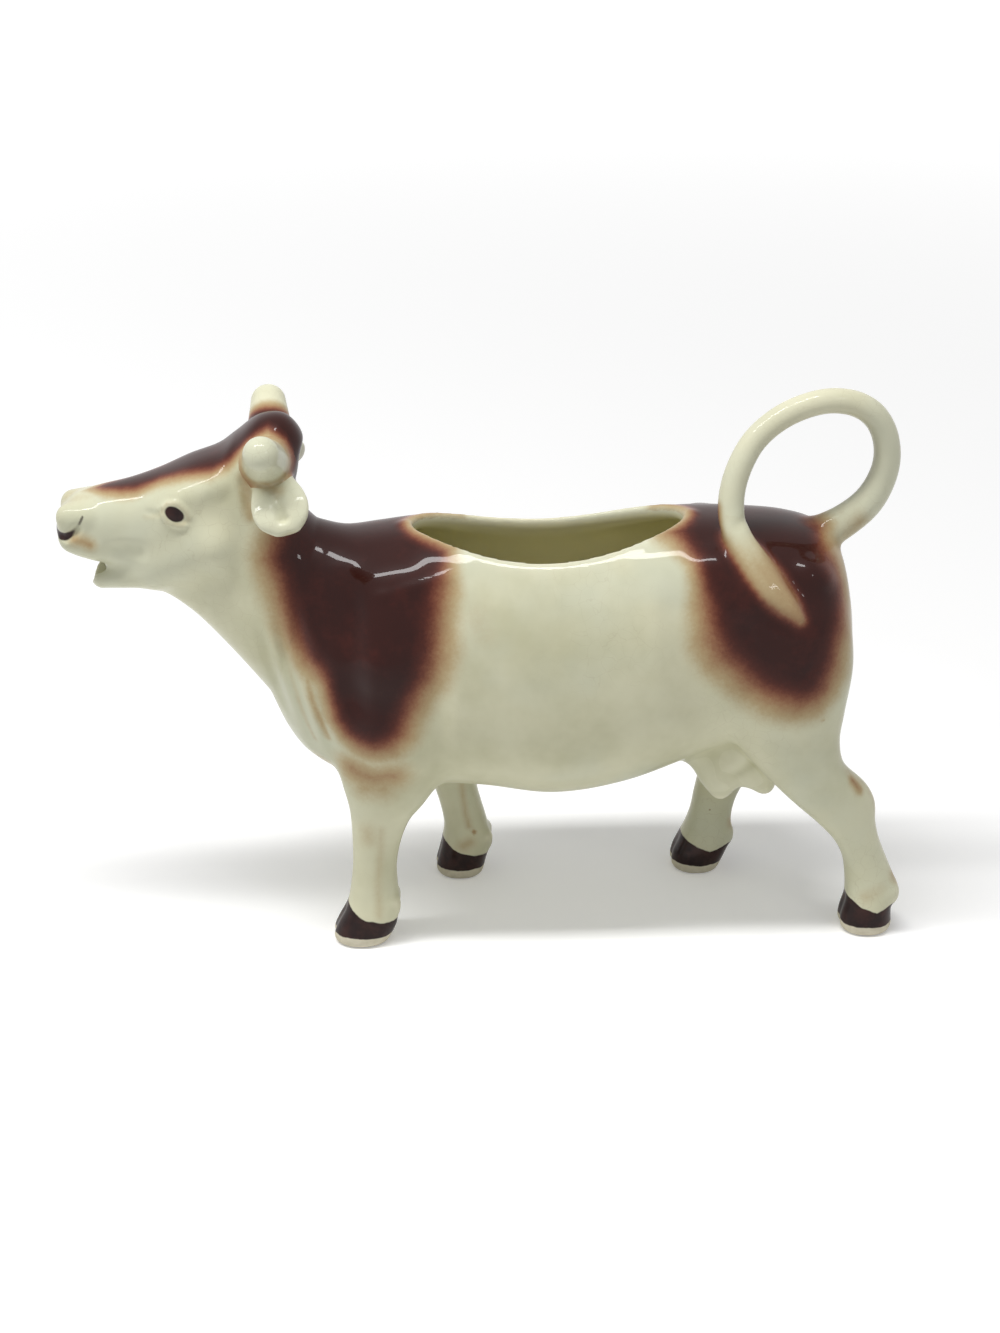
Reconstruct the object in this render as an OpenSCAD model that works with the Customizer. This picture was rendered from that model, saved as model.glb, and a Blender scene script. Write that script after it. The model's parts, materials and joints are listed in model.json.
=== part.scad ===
// Cow creamer: a small glazed pottery jug in the shape of a standing cow.
// The cow faces -X and stands on z = 0, with its left side towards -Y.
// It is filled through the oval hole in the back, held by the tail loop, and pours from the mouth.

/* [Body] */
// Length of the trunk, from the brisket to the rump
body_l = 128; // [120:1:136]
// Depth of the trunk, from the leg joints up to the back
body_h = 66; // [62:1:70]
// Width of the barrel
body_w = 50; // [47:1:54]
// Thickness of the pottery wall
wall = 3.4; // [2.6:0.1:4]

/* [Filling hole] */
// Length of the oval hole in the back
hole_l = 61; // [54:1:64]
// Width of the oval hole in the back
hole_w = 26; // [20:1:30]

/* [Head] */
// Length of the head and neck, from the neck joint to the nose
head_l = 59; // [55:1:63]
// Height of the crown above the neck joint
head_h = 25; // [22:1:28]
// Width of the head at the cheeks
head_w = 25; // [22:1:28]
// Width of the pouring hole in the mouth
spout_w = 8; // [6:0.5:9]
// Height of the pouring hole in the mouth
spout_h = 5.6; // [4.8:0.2:6.4]
// Diameter of the eye
eye_d = 3.6; // [3:0.2:4.4]

/* [Horns and ears] */
// Length of a horn, from its root inside the crown
horn_l = 17; // [14:1:19]
// Diameter of a horn at its root
horn_d = 12; // [10:0.5:13]
// Length of an ear, from its root to its tip
ear_l = 16; // [14:1:19]
// Width of an ear
ear_w = 13; // [10:0.5:14]
// Thickness of an ear
ear_t = 5; // [4:0.2:6]

/* [Legs] */
// Height of the legs, from the table to the leg joints
leg_h = 34; // [30:1:38]
// Length of a hoof
hoof_l = 13; // [11:0.5:14]
// Width of a hoof
hoof_w = 13; // [11:0.5:14]
// Distance between the middles of the left and right hooves
track = 31; // [28:1:34]

/* [Tail handle] */
// Length of the tail loop, along the cow
loop_l = 37; // [33:1:41]
// Height of the tail loop above the back
loop_h = 30; // [26:1:34]
// Sideways lean of the tail loop, towards the cow's left
loop_lean = 10; // [8:0.5:12]
// Diameter of the tail at the top of the loop
tail_d = 6; // [5:0.2:7]
// Length of the tuft that lies on the flank
tuft_l = 26; // [20:1:28]

/* [Udder] */
// Length of the udder
udder_l = 20; // [16:1:22]
// Width of the udder
udder_w = 19; // [15:1:22]
// Depth of the udder below its root
udder_h = 12; // [10:0.5:14]
// Length of a teat
teat_l = 3; // [2:0.2:4]

/* [Hidden] */

// Points round a section of the trunk and head, of a leg, and of the tail, ears and horns
body_points = 28;
leg_points = 16;
tube_points = 12;
ball_points = 16;
// Sections along the trunk, a hollow, the head, a leg and the tail
body_steps = 34;
hollow_steps = 20;
limb_steps = 3;
head_steps = 30;
leg_steps = 16;
tail_steps = 38;
// How far a cut runs past the face it opens
overrun = 2;
cream = [0.90, 0.89, 0.79];
left = -1;
right = 1;

// Each row of trunk_shares is one section, leaning from its lowest point to its highest:
// highest x and z, lowest x and z, half width, squareness, and how far the widest place is raised.
// x is a share of body_l, z of body_h above the leg joints, and half width of body_w.
trunk_shares = [
    [-0.294, 0.977, -0.394,  0.379, 0.320, 2.1, -0.05],
    [-0.266, 0.961, -0.363,  0.242, 0.376, 2.1, -0.05],
    [-0.234, 0.958, -0.324,  0.144, 0.420, 2.2, -0.08],
    [-0.188, 0.967, -0.258,  0.061, 0.460, 2.3, -0.10],
    [-0.109, 0.982, -0.141,  0.012, 0.480, 2.4, -0.10],
    [ 0.000, 0.979, -0.016,  0.000, 0.492, 2.4, -0.10],
    [ 0.117, 0.976,  0.117, -0.027, 0.500, 2.4, -0.10],
    [ 0.250, 0.988,  0.250,  0.015, 0.496, 2.4, -0.08],
    [ 0.359, 1.000,  0.391,  0.106, 0.480, 2.4, -0.04],
    [ 0.453, 0.991,  0.484,  0.174, 0.472, 2.3,  0.00],
    [ 0.531, 0.976,  0.570,  0.212, 0.456, 2.3,  0.00],
    [ 0.594, 0.942,  0.623,  0.258, 0.390, 2.2,  0.00],
    [ 0.633, 0.864,  0.653,  0.348, 0.280, 2.1,  0.00],
    [ 0.650, 0.742,  0.662,  0.470, 0.150, 2.0,  0.00]];

// The head's rows are written the same way, after the neck joint's own section:
// x is a share of head_l forward of the nape, z of head_h above it, and half width of head_w.
head_shares = [
    [0.022, 0.14, 0.312, -1.30, 0.576, 2.1, -0.02],
    [0.048, 0.38, 0.405, -1.04, 0.520, 2.1,  0.00],
    [0.061, 0.61, 0.481, -0.85, 0.492, 2.1,  0.05],
    [0.056, 0.84, 0.541, -0.74, 0.480, 2.1,  0.08],
    [0.117, 1.02, 0.575, -0.69, 0.476, 2.1,  0.08],
    [0.210, 1.03, 0.605, -0.65, 0.480, 2.1,  0.08],
    [0.300, 0.87, 0.635, -0.62, 0.488, 2.2,  0.12],
    [0.371, 0.75, 0.664, -0.60, 0.488, 2.3,  0.20],
    [0.481, 0.66, 0.707, -0.57, 0.464, 2.3,  0.20],
    [0.608, 0.53, 0.753, -0.52, 0.412, 2.2,  0.15],
    [0.736, 0.44, 0.803, -0.44, 0.372, 2.2,  0.05],
    [0.846, 0.38, 0.866, -0.34, 0.360, 2.2,  0.00],
    [0.939, 0.29, 0.934, -0.28, 0.328, 2.1,  0.00],
    [0.988, 0.15, 0.981, -0.17, 0.240, 2.0,  0.00],
    [1.002, 0.04, 1.000, -0.06, 0.100, 2.0,  0.00]];

// A leg's rows go down: height as a share of leg_h, front and back as shares of hoof_l
// from the middle of the hoof, and half width as a share of hoof_w.
foreleg_left_shares = [
    [1.00, -0.13, 1.04, 0.45],
    [0.93, -0.11, 0.87, 0.42],
    [0.76, -0.10, 0.74, 0.37],
    [0.55, -0.11, 0.67, 0.35],
    [0.36, -0.19, 0.68, 0.37],
    [0.27, -0.26, 0.70, 0.42],
    [0.16, -0.36, 0.66, 0.45],
    [0.07, -0.51, 0.56, 0.48],
    [0.00, -0.48, 0.48, 0.46]];
foreleg_right_shares = [
    [1.00, -0.82, 0.29, 0.45],
    [0.85, -0.60, 0.28, 0.42],
    [0.68, -0.48, 0.31, 0.37],
    [0.41, -0.32, 0.50, 0.36],
    [0.25, -0.38, 0.57, 0.42],
    [0.12, -0.44, 0.49, 0.45],
    [0.04, -0.50, 0.46, 0.48],
    [0.00, -0.46, 0.43, 0.46]];
hindleg_left_shares = [
    [1.00, -1.45, -0.02, 0.45],
    [0.84, -1.02,  0.02, 0.42],
    [0.70, -0.67,  0.12, 0.38],
    [0.56, -0.50,  0.28, 0.36],
    [0.41, -0.44,  0.45, 0.37],
    [0.30, -0.42,  0.57, 0.42],
    [0.22, -0.43,  0.46, 0.44],
    [0.10, -0.51,  0.44, 0.48],
    [0.00, -0.46,  0.42, 0.46]];
hindleg_right_shares = [
    [1.00,  0.10, 1.35, 0.45],
    [0.80,  0.00, 0.98, 0.42],
    [0.61, -0.09, 0.72, 0.38],
    [0.44, -0.15, 0.65, 0.36],
    [0.33, -0.26, 0.64, 0.42],
    [0.22, -0.36, 0.60, 0.44],
    [0.09, -0.48, 0.43, 0.48],
    [0.00, -0.44, 0.40, 0.46]];
// Middle of each hoof along the cow, as a share of body_l
foreleg_left_share = -0.240;
foreleg_right_share = -0.050;
hindleg_left_share = 0.698;
hindleg_right_share = 0.410;

// Upper arm and thigh, going up into the trunk: height as a share of body_h above the joint,
// front and back as shares of body_l, half width of body_w, and distance from the middle of track.
shoulder_left_shares = [
    [0.10, -0.266, -0.098, 0.13, 0.50],
    [0.24, -0.279, -0.072, 0.17, 0.49],
    [0.42, -0.281, -0.068, 0.17, 0.50],
    [0.61, -0.248, -0.104, 0.10, 0.54]];
shoulder_right_shares = [
    [0.10, -0.174, -0.039, 0.14, 0.49],
    [0.24, -0.234, -0.062, 0.17, 0.49],
    [0.42, -0.266, -0.066, 0.17, 0.50],
    [0.61, -0.248, -0.104, 0.10, 0.54]];
thigh_left_shares = [
    [0.09, 0.508, 0.668, 0.13, 0.50],
    [0.21, 0.453, 0.630, 0.16, 0.50],
    [0.36, 0.397, 0.633, 0.18, 0.48],
    [0.54, 0.375, 0.641, 0.18, 0.47],
    [0.71, 0.414, 0.615, 0.14, 0.45]];
thigh_right_shares = [
    [0.11, 0.428, 0.605, 0.15, 0.50],
    [0.24, 0.414, 0.627, 0.17, 0.49],
    [0.36, 0.391, 0.634, 0.18, 0.48],
    [0.54, 0.375, 0.641, 0.18, 0.47],
    [0.71, 0.414, 0.615, 0.14, 0.45]];
// Muscles and bones that stand out of the trunk, each between two round ends: x as a share of
// body_l, y of body_w, z of body_h above the leg joints, and the radius of body_w
muscle_shares = [
    [[-0.200, 0.328, 0.585, 0.170], [-0.164, 0.240, 0.795, 0.146]],
    [[-0.230, 0.328, 0.364, 0.168], [-0.164, 0.334, 0.288, 0.164]],
    [[ 0.387, 0.290, 0.865, 0.092], [ 0.438, 0.354, 0.782, 0.090]],
    [[ 0.578, 0.220, 0.850, 0.094], [ 0.582, 0.276, 0.742, 0.116]],
    [[ 0.514, 0.290, 0.424, 0.204], [ 0.547, 0.272, 0.636, 0.186]]];
// Valleys pressed into the trunk: points as a share of the way along its sections and an angle
// round them, then the radius of the thumb that presses as a share of body_w
neck_valley = [[0.10, 62], [0.15, 38], [0.180, 14], [0.185, -12], [0.17, -34]];
foreleg_valley = [[0.338, 42], [0.327, 23], [0.328, 5], [0.328, -9], [0.326, -28]];
flank_valley = [[0.595, 46], [0.594, 27], [0.596, 8], [0.600, -9], [0.610, -28]];
valley_radius_shares = [0.12, 0.11, 0.24];
valley_depth_shares = [0.018, 0.018, 0.022];

// The tail's loop goes from its root inside the rump: x and z as shares of loop_l and loop_h
// from its seat on the back, lean as a share of loop_lean, and radius as a share of tail_d.
loop_shares = [
    [ 0.00, -0.10, -0.22, 0.73],
    [ 0.14,  0.00, -0.14, 0.70],
    [ 0.30,  0.00, -0.04, 0.65],
    [ 0.44,  0.00,  0.10, 0.60],
    [ 0.51,  0.00,  0.28, 0.55],
    [ 0.53, -0.05,  0.48, 0.53],
    [ 0.50, -0.10,  0.68, 0.51],
    [ 0.41, -0.15,  0.83, 0.50],
    [ 0.26, -0.20,  0.90, 0.48],
    [ 0.08, -0.30,  0.88, 0.48],
    [-0.12, -0.40,  0.81, 0.48],
    [-0.29, -0.55,  0.69, 0.48],
    [-0.39, -0.70,  0.50, 0.48],
    [-0.44, -0.84,  0.30, 0.49],
    [-0.44, -1.00,  0.14, 0.50]];
// The tuft's rows lie on the flank: distance along it as a share of tuft_l, height round the
// section as an angle, then how far its middle stands out, its half thickness and its half
// width, as shares of tail_d.
tuft_shares = [
    [0.22, 50, 0.36, 0.48, 0.56],
    [0.48, 41, 0.26, 0.44, 0.66],
    [0.76, 33, 0.18, 0.38, 0.64],
    [1.00, 26, 0.05, 0.22, 0.20]];
// Where the tail's seat lies on the back, as a share of body_l
tail_seat_share = 0.547;
// Where the tuft starts along the trunk's sections, and how far it runs for its length, as shares
tuft_start_share = 0.665;
tuft_run_share = 0.52;

function row_between(rows, u) =
    let (last = len(rows) - 1, k = min(floor(u * last), last - 1), t = u * last - k,
         a = rows[max(k - 1, 0)], b = rows[k], c = rows[k + 1], d = rows[min(k + 2, last)])
    (2 * b + (c - a) * t + (2 * a - 5 * b + 4 * c - d) * t * t + (3 * b - a - 3 * c + d) * t * t * t) / 2;

function round_power(v, power) = sign(v) * pow(abs(v), power);
function unit(v) = v / norm(v);
function backwards(list) = [for (i = [len(list) - 1 : -1 : 0]) list[i]];

// One leaning section in real sizes: [highest x, highest z, lowest x, lowest z, half width, n, raise]
function trunk_row(u) =
    let (r = row_between(trunk_shares, u))
    [body_l * r[0], leg_h + body_h * r[1], body_l * r[2], leg_h + body_h * r[3],
     body_w * r[4], r[5], r[6]];
neck_row = trunk_row(0);
head_rows = concat([neck_row], [for (r = head_shares)
    [neck_row[0] - head_l * r[0], neck_row[1] + head_h * r[1],
     neck_row[0] - head_l * r[2], neck_row[1] + head_h * r[3], head_w * r[4], r[5], r[6]]]);

// A point of a section at an angle, moved in or out from its surface
function section_point(row, angle, out) =
    let (low = [row[2], row[3]], high = [row[0], row[1]], half = norm(high - low) / 2,
         up = unit(high - low), mid = (high + low) / 2,
         across = (row[4] + out) * round_power(cos(angle), 2 / row[5]),
         t = round_power(sin(angle), 2 / row[5]),
         rise = (half + out) * (t + row[6] * (1 - t * t)))
    [mid[0] + up[0] * rise, across, mid[1] + up[1] * rise];
function section(row, out) =
    [for (i = [0 : body_points - 1]) section_point(row, 360 * i / body_points, out)];

function trunk_rings(out, first, to, steps) =
    [for (i = [first : steps]) section(trunk_row(to * i / steps), out)];
function head_rings(out, first, to, steps) =
    [for (i = [first : steps]) section(row_between(head_rows, to * i / steps), out)];

// A flat section of a leg, rounded like a section of the trunk
leg_squareness = 2.3;
function flat_ring(front, back, half_w, y, z) =
    [for (i = [0 : leg_points - 1]) let (q = 360 * i / leg_points)
        [(front + back) / 2 + (back - front) / 2 * round_power(cos(q), 2 / leg_squareness),
         y + half_w * round_power(sin(q), 2 / leg_squareness), z]];
function leg_ring(shares, u, place_share, side) =
    let (r = row_between(shares, u), x = body_l * place_share)
    flat_ring(x + hoof_l * r[1], x + hoof_l * r[2], hoof_w * r[3], side * track / 2, leg_h * r[0]);
function limb_ring(r, side) =
    flat_ring(body_l * r[1], body_l * r[2], body_w * r[3], side * track * r[4], leg_h + body_h * r[0]);

// Rings joined to one closed skin; each ring turns from its own x to its own y along the loft
module loft(rings) {
    n = len(rings[0]);
    last = len(rings) - 1;
    sides = [for (j = [0 : last - 1], i = [0 : n - 1]) let (k = (i + 1) % n)
        each [[j * n + i, (j + 1) * n + i, (j + 1) * n + k], [j * n + i, (j + 1) * n + k, j * n + k]]];
    polyhedron(points = [for (ring = rings) each ring],
               faces = concat([[for (i = [0 : n - 1]) i]], sides, [[for (i = [n - 1 : -1 : 0]) last * n + i]]));
}

// A tube along a path, each point with its own half width and half thickness;
// the width lies along wide as nearly as the path allows
module swept(path, sizes, wide, cup_share = 0) {
    last = len(path) - 1;
    loft([for (i = [0 : last])
        let (along = unit(path[min(i + 1, last)] - path[max(i - 1, 0)]),
             u = unit(wide - (wide * along) * along), v = cross(along, u))
        [for (k = [0 : tube_points - 1]) let (q = 360 * k / tube_points, c = cos(q))
            path[i] + u * sizes[i][0] * c + v * (sizes[i][1] * sin(q) - cup_share * sizes[i][0] * c * c)]]);
}

module muscle(a, ra, b, rb) {
    hull() {
        translate(a) scale(ra) sphere(1, $fn = ball_points);
        translate(b) scale(rb) sphere(1, $fn = ball_points);
    }
}

function head_point(x_share, y_share, z_share) =
    [neck_row[0] - head_l * x_share, head_w * y_share, neck_row[1] + head_h * z_share];
function trunk_point(x_share, y_share, z_share) =
    [body_l * x_share, body_w * y_share, leg_h + body_h * z_share];

// The hollow passes straight through the neck joint, from past it on one side to its lip on the other
neck_lean = unit([neck_row[0] - neck_row[2], neck_row[1] - neck_row[3]]);
joint_lip = 0.4;
function neck_passage(forward) =
    [for (shift = [overrun, -joint_lip], ring = [section(neck_row, -wall)])
        [for (p = ring) p + forward * shift * [-neck_lean[1], 0, neck_lean[0]]]];

// Torso: barrel, shoulders and thighs in one casting, hollow inside
valley_points = 14;
module valley(path, radius_share, depth_share, side) {
    centres = [for (p = path)
        section_point(trunk_row(p[0]), p[1], body_w * (radius_share - depth_share))];
    for (i = [0 : len(path) - 2])
        hull() for (c = [centres[i], centres[i + 1]])
            translate([c[0], side * c[1], c[2]]) sphere(body_w * radius_share, $fn = valley_points);
}
module upper_limb(leg_shares, place_share, rows, side) {
    limb = concat([leg_ring(leg_shares, 0, place_share, side)], [for (r = rows) limb_ring(r, side)]);
    steps = limb_steps * (len(limb) - 1);
    loft([for (i = [0 : steps]) row_between(limb, i / steps)]);
}
module trunk_outer() {
    difference() {
        union() {
            loft(trunk_rings(0, 0, 1, body_steps));
            upper_limb(foreleg_left_shares, foreleg_left_share, shoulder_left_shares, left);
            upper_limb(foreleg_right_shares, foreleg_right_share, shoulder_right_shares, right);
            upper_limb(hindleg_left_shares, hindleg_left_share, thigh_left_shares, left);
            upper_limb(hindleg_right_shares, hindleg_right_share, thigh_right_shares, right);
            for (side = [left, right], ends = muscle_shares)
                hull() for (e = ends)
                    translate(trunk_point(e[0], side * e[1], e[2]))
                        sphere(body_w * e[3], $fn = ball_points);
        }
        for (side = [left, right]) {
            valley(neck_valley, valley_radius_shares[0], valley_depth_shares[0], side);
            valley(foreleg_valley, valley_radius_shares[1], valley_depth_shares[1], side);
            valley(flank_valley, valley_radius_shares[2], valley_depth_shares[2], side);
        }
    }
}
// How far the hollow reaches back along the trunk and forward along the head, as shares
trunk_hollow_share = 0.87;
head_hollow_share = 0.63;
filling_hole_share = 0.106;
module filling_hole() {
    translate(trunk_point(filling_hole_share, 0, 0.5)) linear_extrude(body_h / 2 + overrun)
        scale([hole_l, hole_w]) circle(d = 1, $fn = 64);
}
module torso() {
    color(cream) difference() {
        trunk_outer();
        loft(concat(neck_passage(1), trunk_rings(-wall, 1, trunk_hollow_share, hollow_steps)));
        filling_hole();
    }
}

// Head: neck, face and jaw in one casting, hollow as far as the mouth
module head_outer() {
    loft(backwards(head_rings(0, 0, 1, head_steps)));
    for (side = [left, right]) {
        muscle(head_point(0.50, side * 0.36, 0.36), head_w * [0.14, 0.07, 0.08],
               head_point(0.38, side * 0.36, 0.50), head_w * [0.14, 0.08, 0.10]);
        muscle(head_point(0.60, side * 0.28, -0.34), head_w * [0.20, 0.12, 0.14],
               head_point(0.42, side * 0.36, -0.10), head_w * [0.24, 0.13, 0.28]);
        muscle(head_point(0.94, side * 0.20, 0.10), head_w * [0.10, 0.14, 0.14],
               head_point(0.86, side * 0.22, 0.12), head_w * [0.12, 0.14, 0.14]);
        muscle(head_point(0.52, side * 0.41, 0.26), eye_d * [0.9, 0.4, 0.7],
               head_point(0.55, side * 0.40, 0.25), eye_d * [0.8, 0.4, 0.6]);
    }
    muscle(head_point(0.65, 0, -0.36), head_w * [0.19, 0.32, 0.19],
           head_point(0.834, 0, -0.44), head_w * [0.12, 0.21, 0.12]);
}
spout_start_share = 0.57;
spout_z_share = -0.385;
module head() {
    color(cream) difference() {
        head_outer();
        loft(backwards(concat(neck_passage(-1), head_rings(-wall, 1, head_hollow_share, hollow_steps))));
        translate(head_point(spout_start_share, 0, spout_z_share)) rotate([0, -90, 0])
            linear_extrude(head_l * (1 - spout_start_share) + overrun)
                scale([spout_h, spout_w]) circle(d = 1, $fn = 32);
    }
}

// A horn stands out of the side of the crown, pointing outwards and up, with a round end
horn_shares = [[0.00, 1.04], [0.25, 1.00], [0.50, 0.92], [0.70, 0.84], [0.86, 0.72], [0.95, 0.52], [1.00, 0.12]];
module horn_outer(side) {
    root = head_point(0.19, side * 0.24, 0.64);
    aim = unit([-0.03, side * 0.86, 0.48]);
    swept([for (r = horn_shares) root + aim * horn_l * r[0]],
          [for (r = horn_shares) [1, 1] * horn_d / 2 * r[1]], [1, 0, 0]);
}
module horn(side) {
    color(cream) difference() {
        horn_outer(side);
        head_outer();
    }
}

// An ear hangs below its horn: a cupped leaf
ear_shares = [[0.00, 0.66], [0.22, 0.82], [0.44, 0.96], [0.66, 1.00], [0.84, 0.84], [0.95, 0.52], [1.00, 0.12]];
module ear(side) {
    root = head_point(0.166, side * 0.34, 0.52);
    aim = unit([0.23, side * 0.81, -0.53]);
    color(cream) difference() {
        swept([for (r = ear_shares) root + aim * ear_l * r[0]],
              [for (r = ear_shares) [ear_w, ear_t] / 2 * r[1]], [1, 0, 0], side * 0.28);
        head_outer();
        horn_outer(side);
    }
}

module leg(shares, place_share, side) {
    color(cream) loft(backwards([for (i = [0 : leg_steps]) leg_ring(shares, i / leg_steps, place_share, side)]));
}

// Udder: a round bag with four teats, between the thighs
udder_place_share = 0.455;
module udder() {
    middle = [body_l * udder_place_share, 0, leg_h + body_h * 0.13];
    color(cream) difference() {
        union() {
            translate(middle) scale([udder_l, udder_w, udder_h * 2]) sphere(d = 1, $fn = 24);
            for (front = [left, right], side = [left, right])
                translate(middle + [front * udder_l * 0.24, side * udder_w * 0.24, -udder_h * 0.76])
                    muscle([0, 0, 0], teat_l * [0.7, 0.7, 0.7], [0, 0, -teat_l], teat_l * [0.4, 0.4, 0.4]);
        }
        trunk_outer();
    }
}

// Tail: a loop from the rump over the back, that comes down on the left flank in a leaf-shaped tuft
tail_seat = [body_l * tail_seat_share, 0, leg_h + body_h];
loop_rows = [for (r = loop_shares)
    concat(tail_seat + [loop_l * r[0], loop_lean * r[1], loop_h * r[2]], [tail_d * r[3], tail_d * r[3]])];
tuft_rows = [for (r = tuft_shares)
    let (row = trunk_row(tuft_start_share + tuft_run_share * tuft_l / body_l * r[0]))
    concat(section_point(row, 180 - r[1], tail_d * r[2]), [tail_d * r[3], tail_d * r[4]])];
module tail_handle() {
    rows = concat(loop_rows, tuft_rows);
    full = [for (i = [0 : tail_steps]) row_between(rows, i / tail_steps)];
    color(cream) difference() {
        swept([for (r = full) [r[0], r[1], r[2]]], [for (r = full) [r[3], r[4]]], [0, 1, 0]);
        trunk_outer();
    }
}

torso();
head();
ear(left);  // ear_left
ear(right);  // ear_right
horn(left);  // horn_left
horn(right);  // horn_right
leg(foreleg_left_shares, foreleg_left_share, left);  // foreleg_left
leg(foreleg_right_shares, foreleg_right_share, right);  // foreleg_right
leg(hindleg_left_shares, hindleg_left_share, left);  // hindleg_left
leg(hindleg_right_shares, hindleg_right_share, right);  // hindleg_right
udder();
tail_handle();
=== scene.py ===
import json

import bpy
import numpy as np
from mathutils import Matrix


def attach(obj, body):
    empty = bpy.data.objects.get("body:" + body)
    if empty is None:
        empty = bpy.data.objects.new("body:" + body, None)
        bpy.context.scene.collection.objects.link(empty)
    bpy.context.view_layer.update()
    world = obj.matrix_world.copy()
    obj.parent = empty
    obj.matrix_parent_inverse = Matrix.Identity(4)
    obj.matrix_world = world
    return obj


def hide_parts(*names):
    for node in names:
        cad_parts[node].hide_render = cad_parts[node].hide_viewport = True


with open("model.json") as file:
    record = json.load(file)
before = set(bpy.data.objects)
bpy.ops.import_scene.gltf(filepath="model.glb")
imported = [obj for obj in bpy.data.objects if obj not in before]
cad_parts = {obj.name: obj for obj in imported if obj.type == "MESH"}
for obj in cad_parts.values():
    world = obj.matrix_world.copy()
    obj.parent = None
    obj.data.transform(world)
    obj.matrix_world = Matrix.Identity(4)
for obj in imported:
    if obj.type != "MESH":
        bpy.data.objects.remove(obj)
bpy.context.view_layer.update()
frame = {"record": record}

import openvdb
from mathutils import Vector

mm = 0.001  # every shape below is worked out in millimetres and put into its mesh in metres
left, right = -1, 1
both = (left, right)

# Sections of the trunk: highest x and z, lowest x and z, half width, squareness, raise of the widest place
trunk = {
    "rows": [
        [-38.4, 99.2, -50.4, 59, 16, 2.1, -0.05], [-34, 97.8, -46.5, 50, 18.8, 2.1, -0.05],
        [-30, 97.2, -41.5, 43.9, 21, 2.2, -0.08], [-24, 97.8, -33, 39.4, 23, 2.25, -0.1],
        [-14, 98.8, -18, 36.8, 24, 2.3, -0.1], [0, 98.6, -2, 35.6, 24.6, 2.3, -0.1],
        [15, 98.4, 15, 33.4, 25, 2.35, -0.1], [32, 99.2, 32, 36.2, 24.8, 2.35, -0.08],
        [46, 100, 50, 43, 24, 2.3, -0.04], [58, 99.4, 62, 46.9, 23.6, 2.3, 0],
        [68, 98.4, 73, 48, 22.4, 2.3, 0], [75.6, 96.2, 79.4, 51, 19, 2.2, 0],
        [80.2, 91, 82.6, 57, 13.6, 2.1, 0], [82.4, 83, 83.8, 65, 7.5, 2, 0]],
    "wall": 3.4,
    "hole": {"x": 13.6, "length": 61, "width": 26},
    "hollowEnd": 0.87,
}

# Sections of the neck and head, written the same way, going forward from the neck joint
head = {
    "rows": [
        [-40.9, 102.2, -56, 66, 14.4, 2.1, -0.02], [-42.6, 107.4, -61.3, 72.3, 13, 2.1, 0],
        [-42.8, 113.5, -66, 77.4, 12.2, 2.1, 0.05], [-40.9, 119.4, -69.5, 80.4, 11.6, 2.1, 0.08],
        [-44.5, 124.4, -71.5, 81.9, 11.4, 2.1, 0.08], [-50, 124.4, -73.2, 83, 11.4, 2.1, 0.08],
        [-55.4, 120.4, -75, 84, 11.5, 2.2, 0.12], [-59.5, 117.2, -76.8, 85, 11.6, 2.3, 0.2],
        [-66, 114.8, -79.4, 86.4, 11, 2.3, 0.22], [-72.8, 112, -82.2, 88, 9.8, 2.2, 0.18],
        [-79.6, 109.8, -85.2, 90, 8.7, 2.2, 0.1], [-86.3, 108.3, -88.8, 91.6, 8.2, 2.2, 0.02],
        [-91.6, 106.8, -92, 93, 7.6, 2.1, 0], [-94.6, 104.4, -94.6, 95.2, 6.2, 2, 0],
        [-96.2, 101.6, -96.2, 97.8, 3.2, 2, 0]],
    "hollowEnd": 0.63,
    "spout": {"start": -71, "z": 88.9, "halfWidth": 3.9, "halfHeight": 2.7},
}

# A horn runs from its root inside the crown; an ear hangs below it. Both are for the right side, y > 0
horn = {"root": (-48.4, 5, 114), "tip": (-49.2, 17.8, 121.6), "rootRadius": 6, "tipRadius": 4}
ear = {
    "path": [[-47.4, 8.5, 112.1], [-46.7, 12.4, 110.9], [-45.9, 15.4, 109.4], [-45.1, 17.8, 107.7],
             [-44.4, 19.6, 106], [-43.9, 20.9, 104.5]],
    "halfWidth": [4, 5.1, 6, 6.2, 5.2, 2.6], "halfThickness": [2.8, 2.8, 2.7, 2.5, 2.1, 1.4],
    "wide": (1, 0, 0.18), "cup": 0.05, "lean": (0.6, 3),  # the lean is the right ear's, from its root to its tip
}

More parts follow.
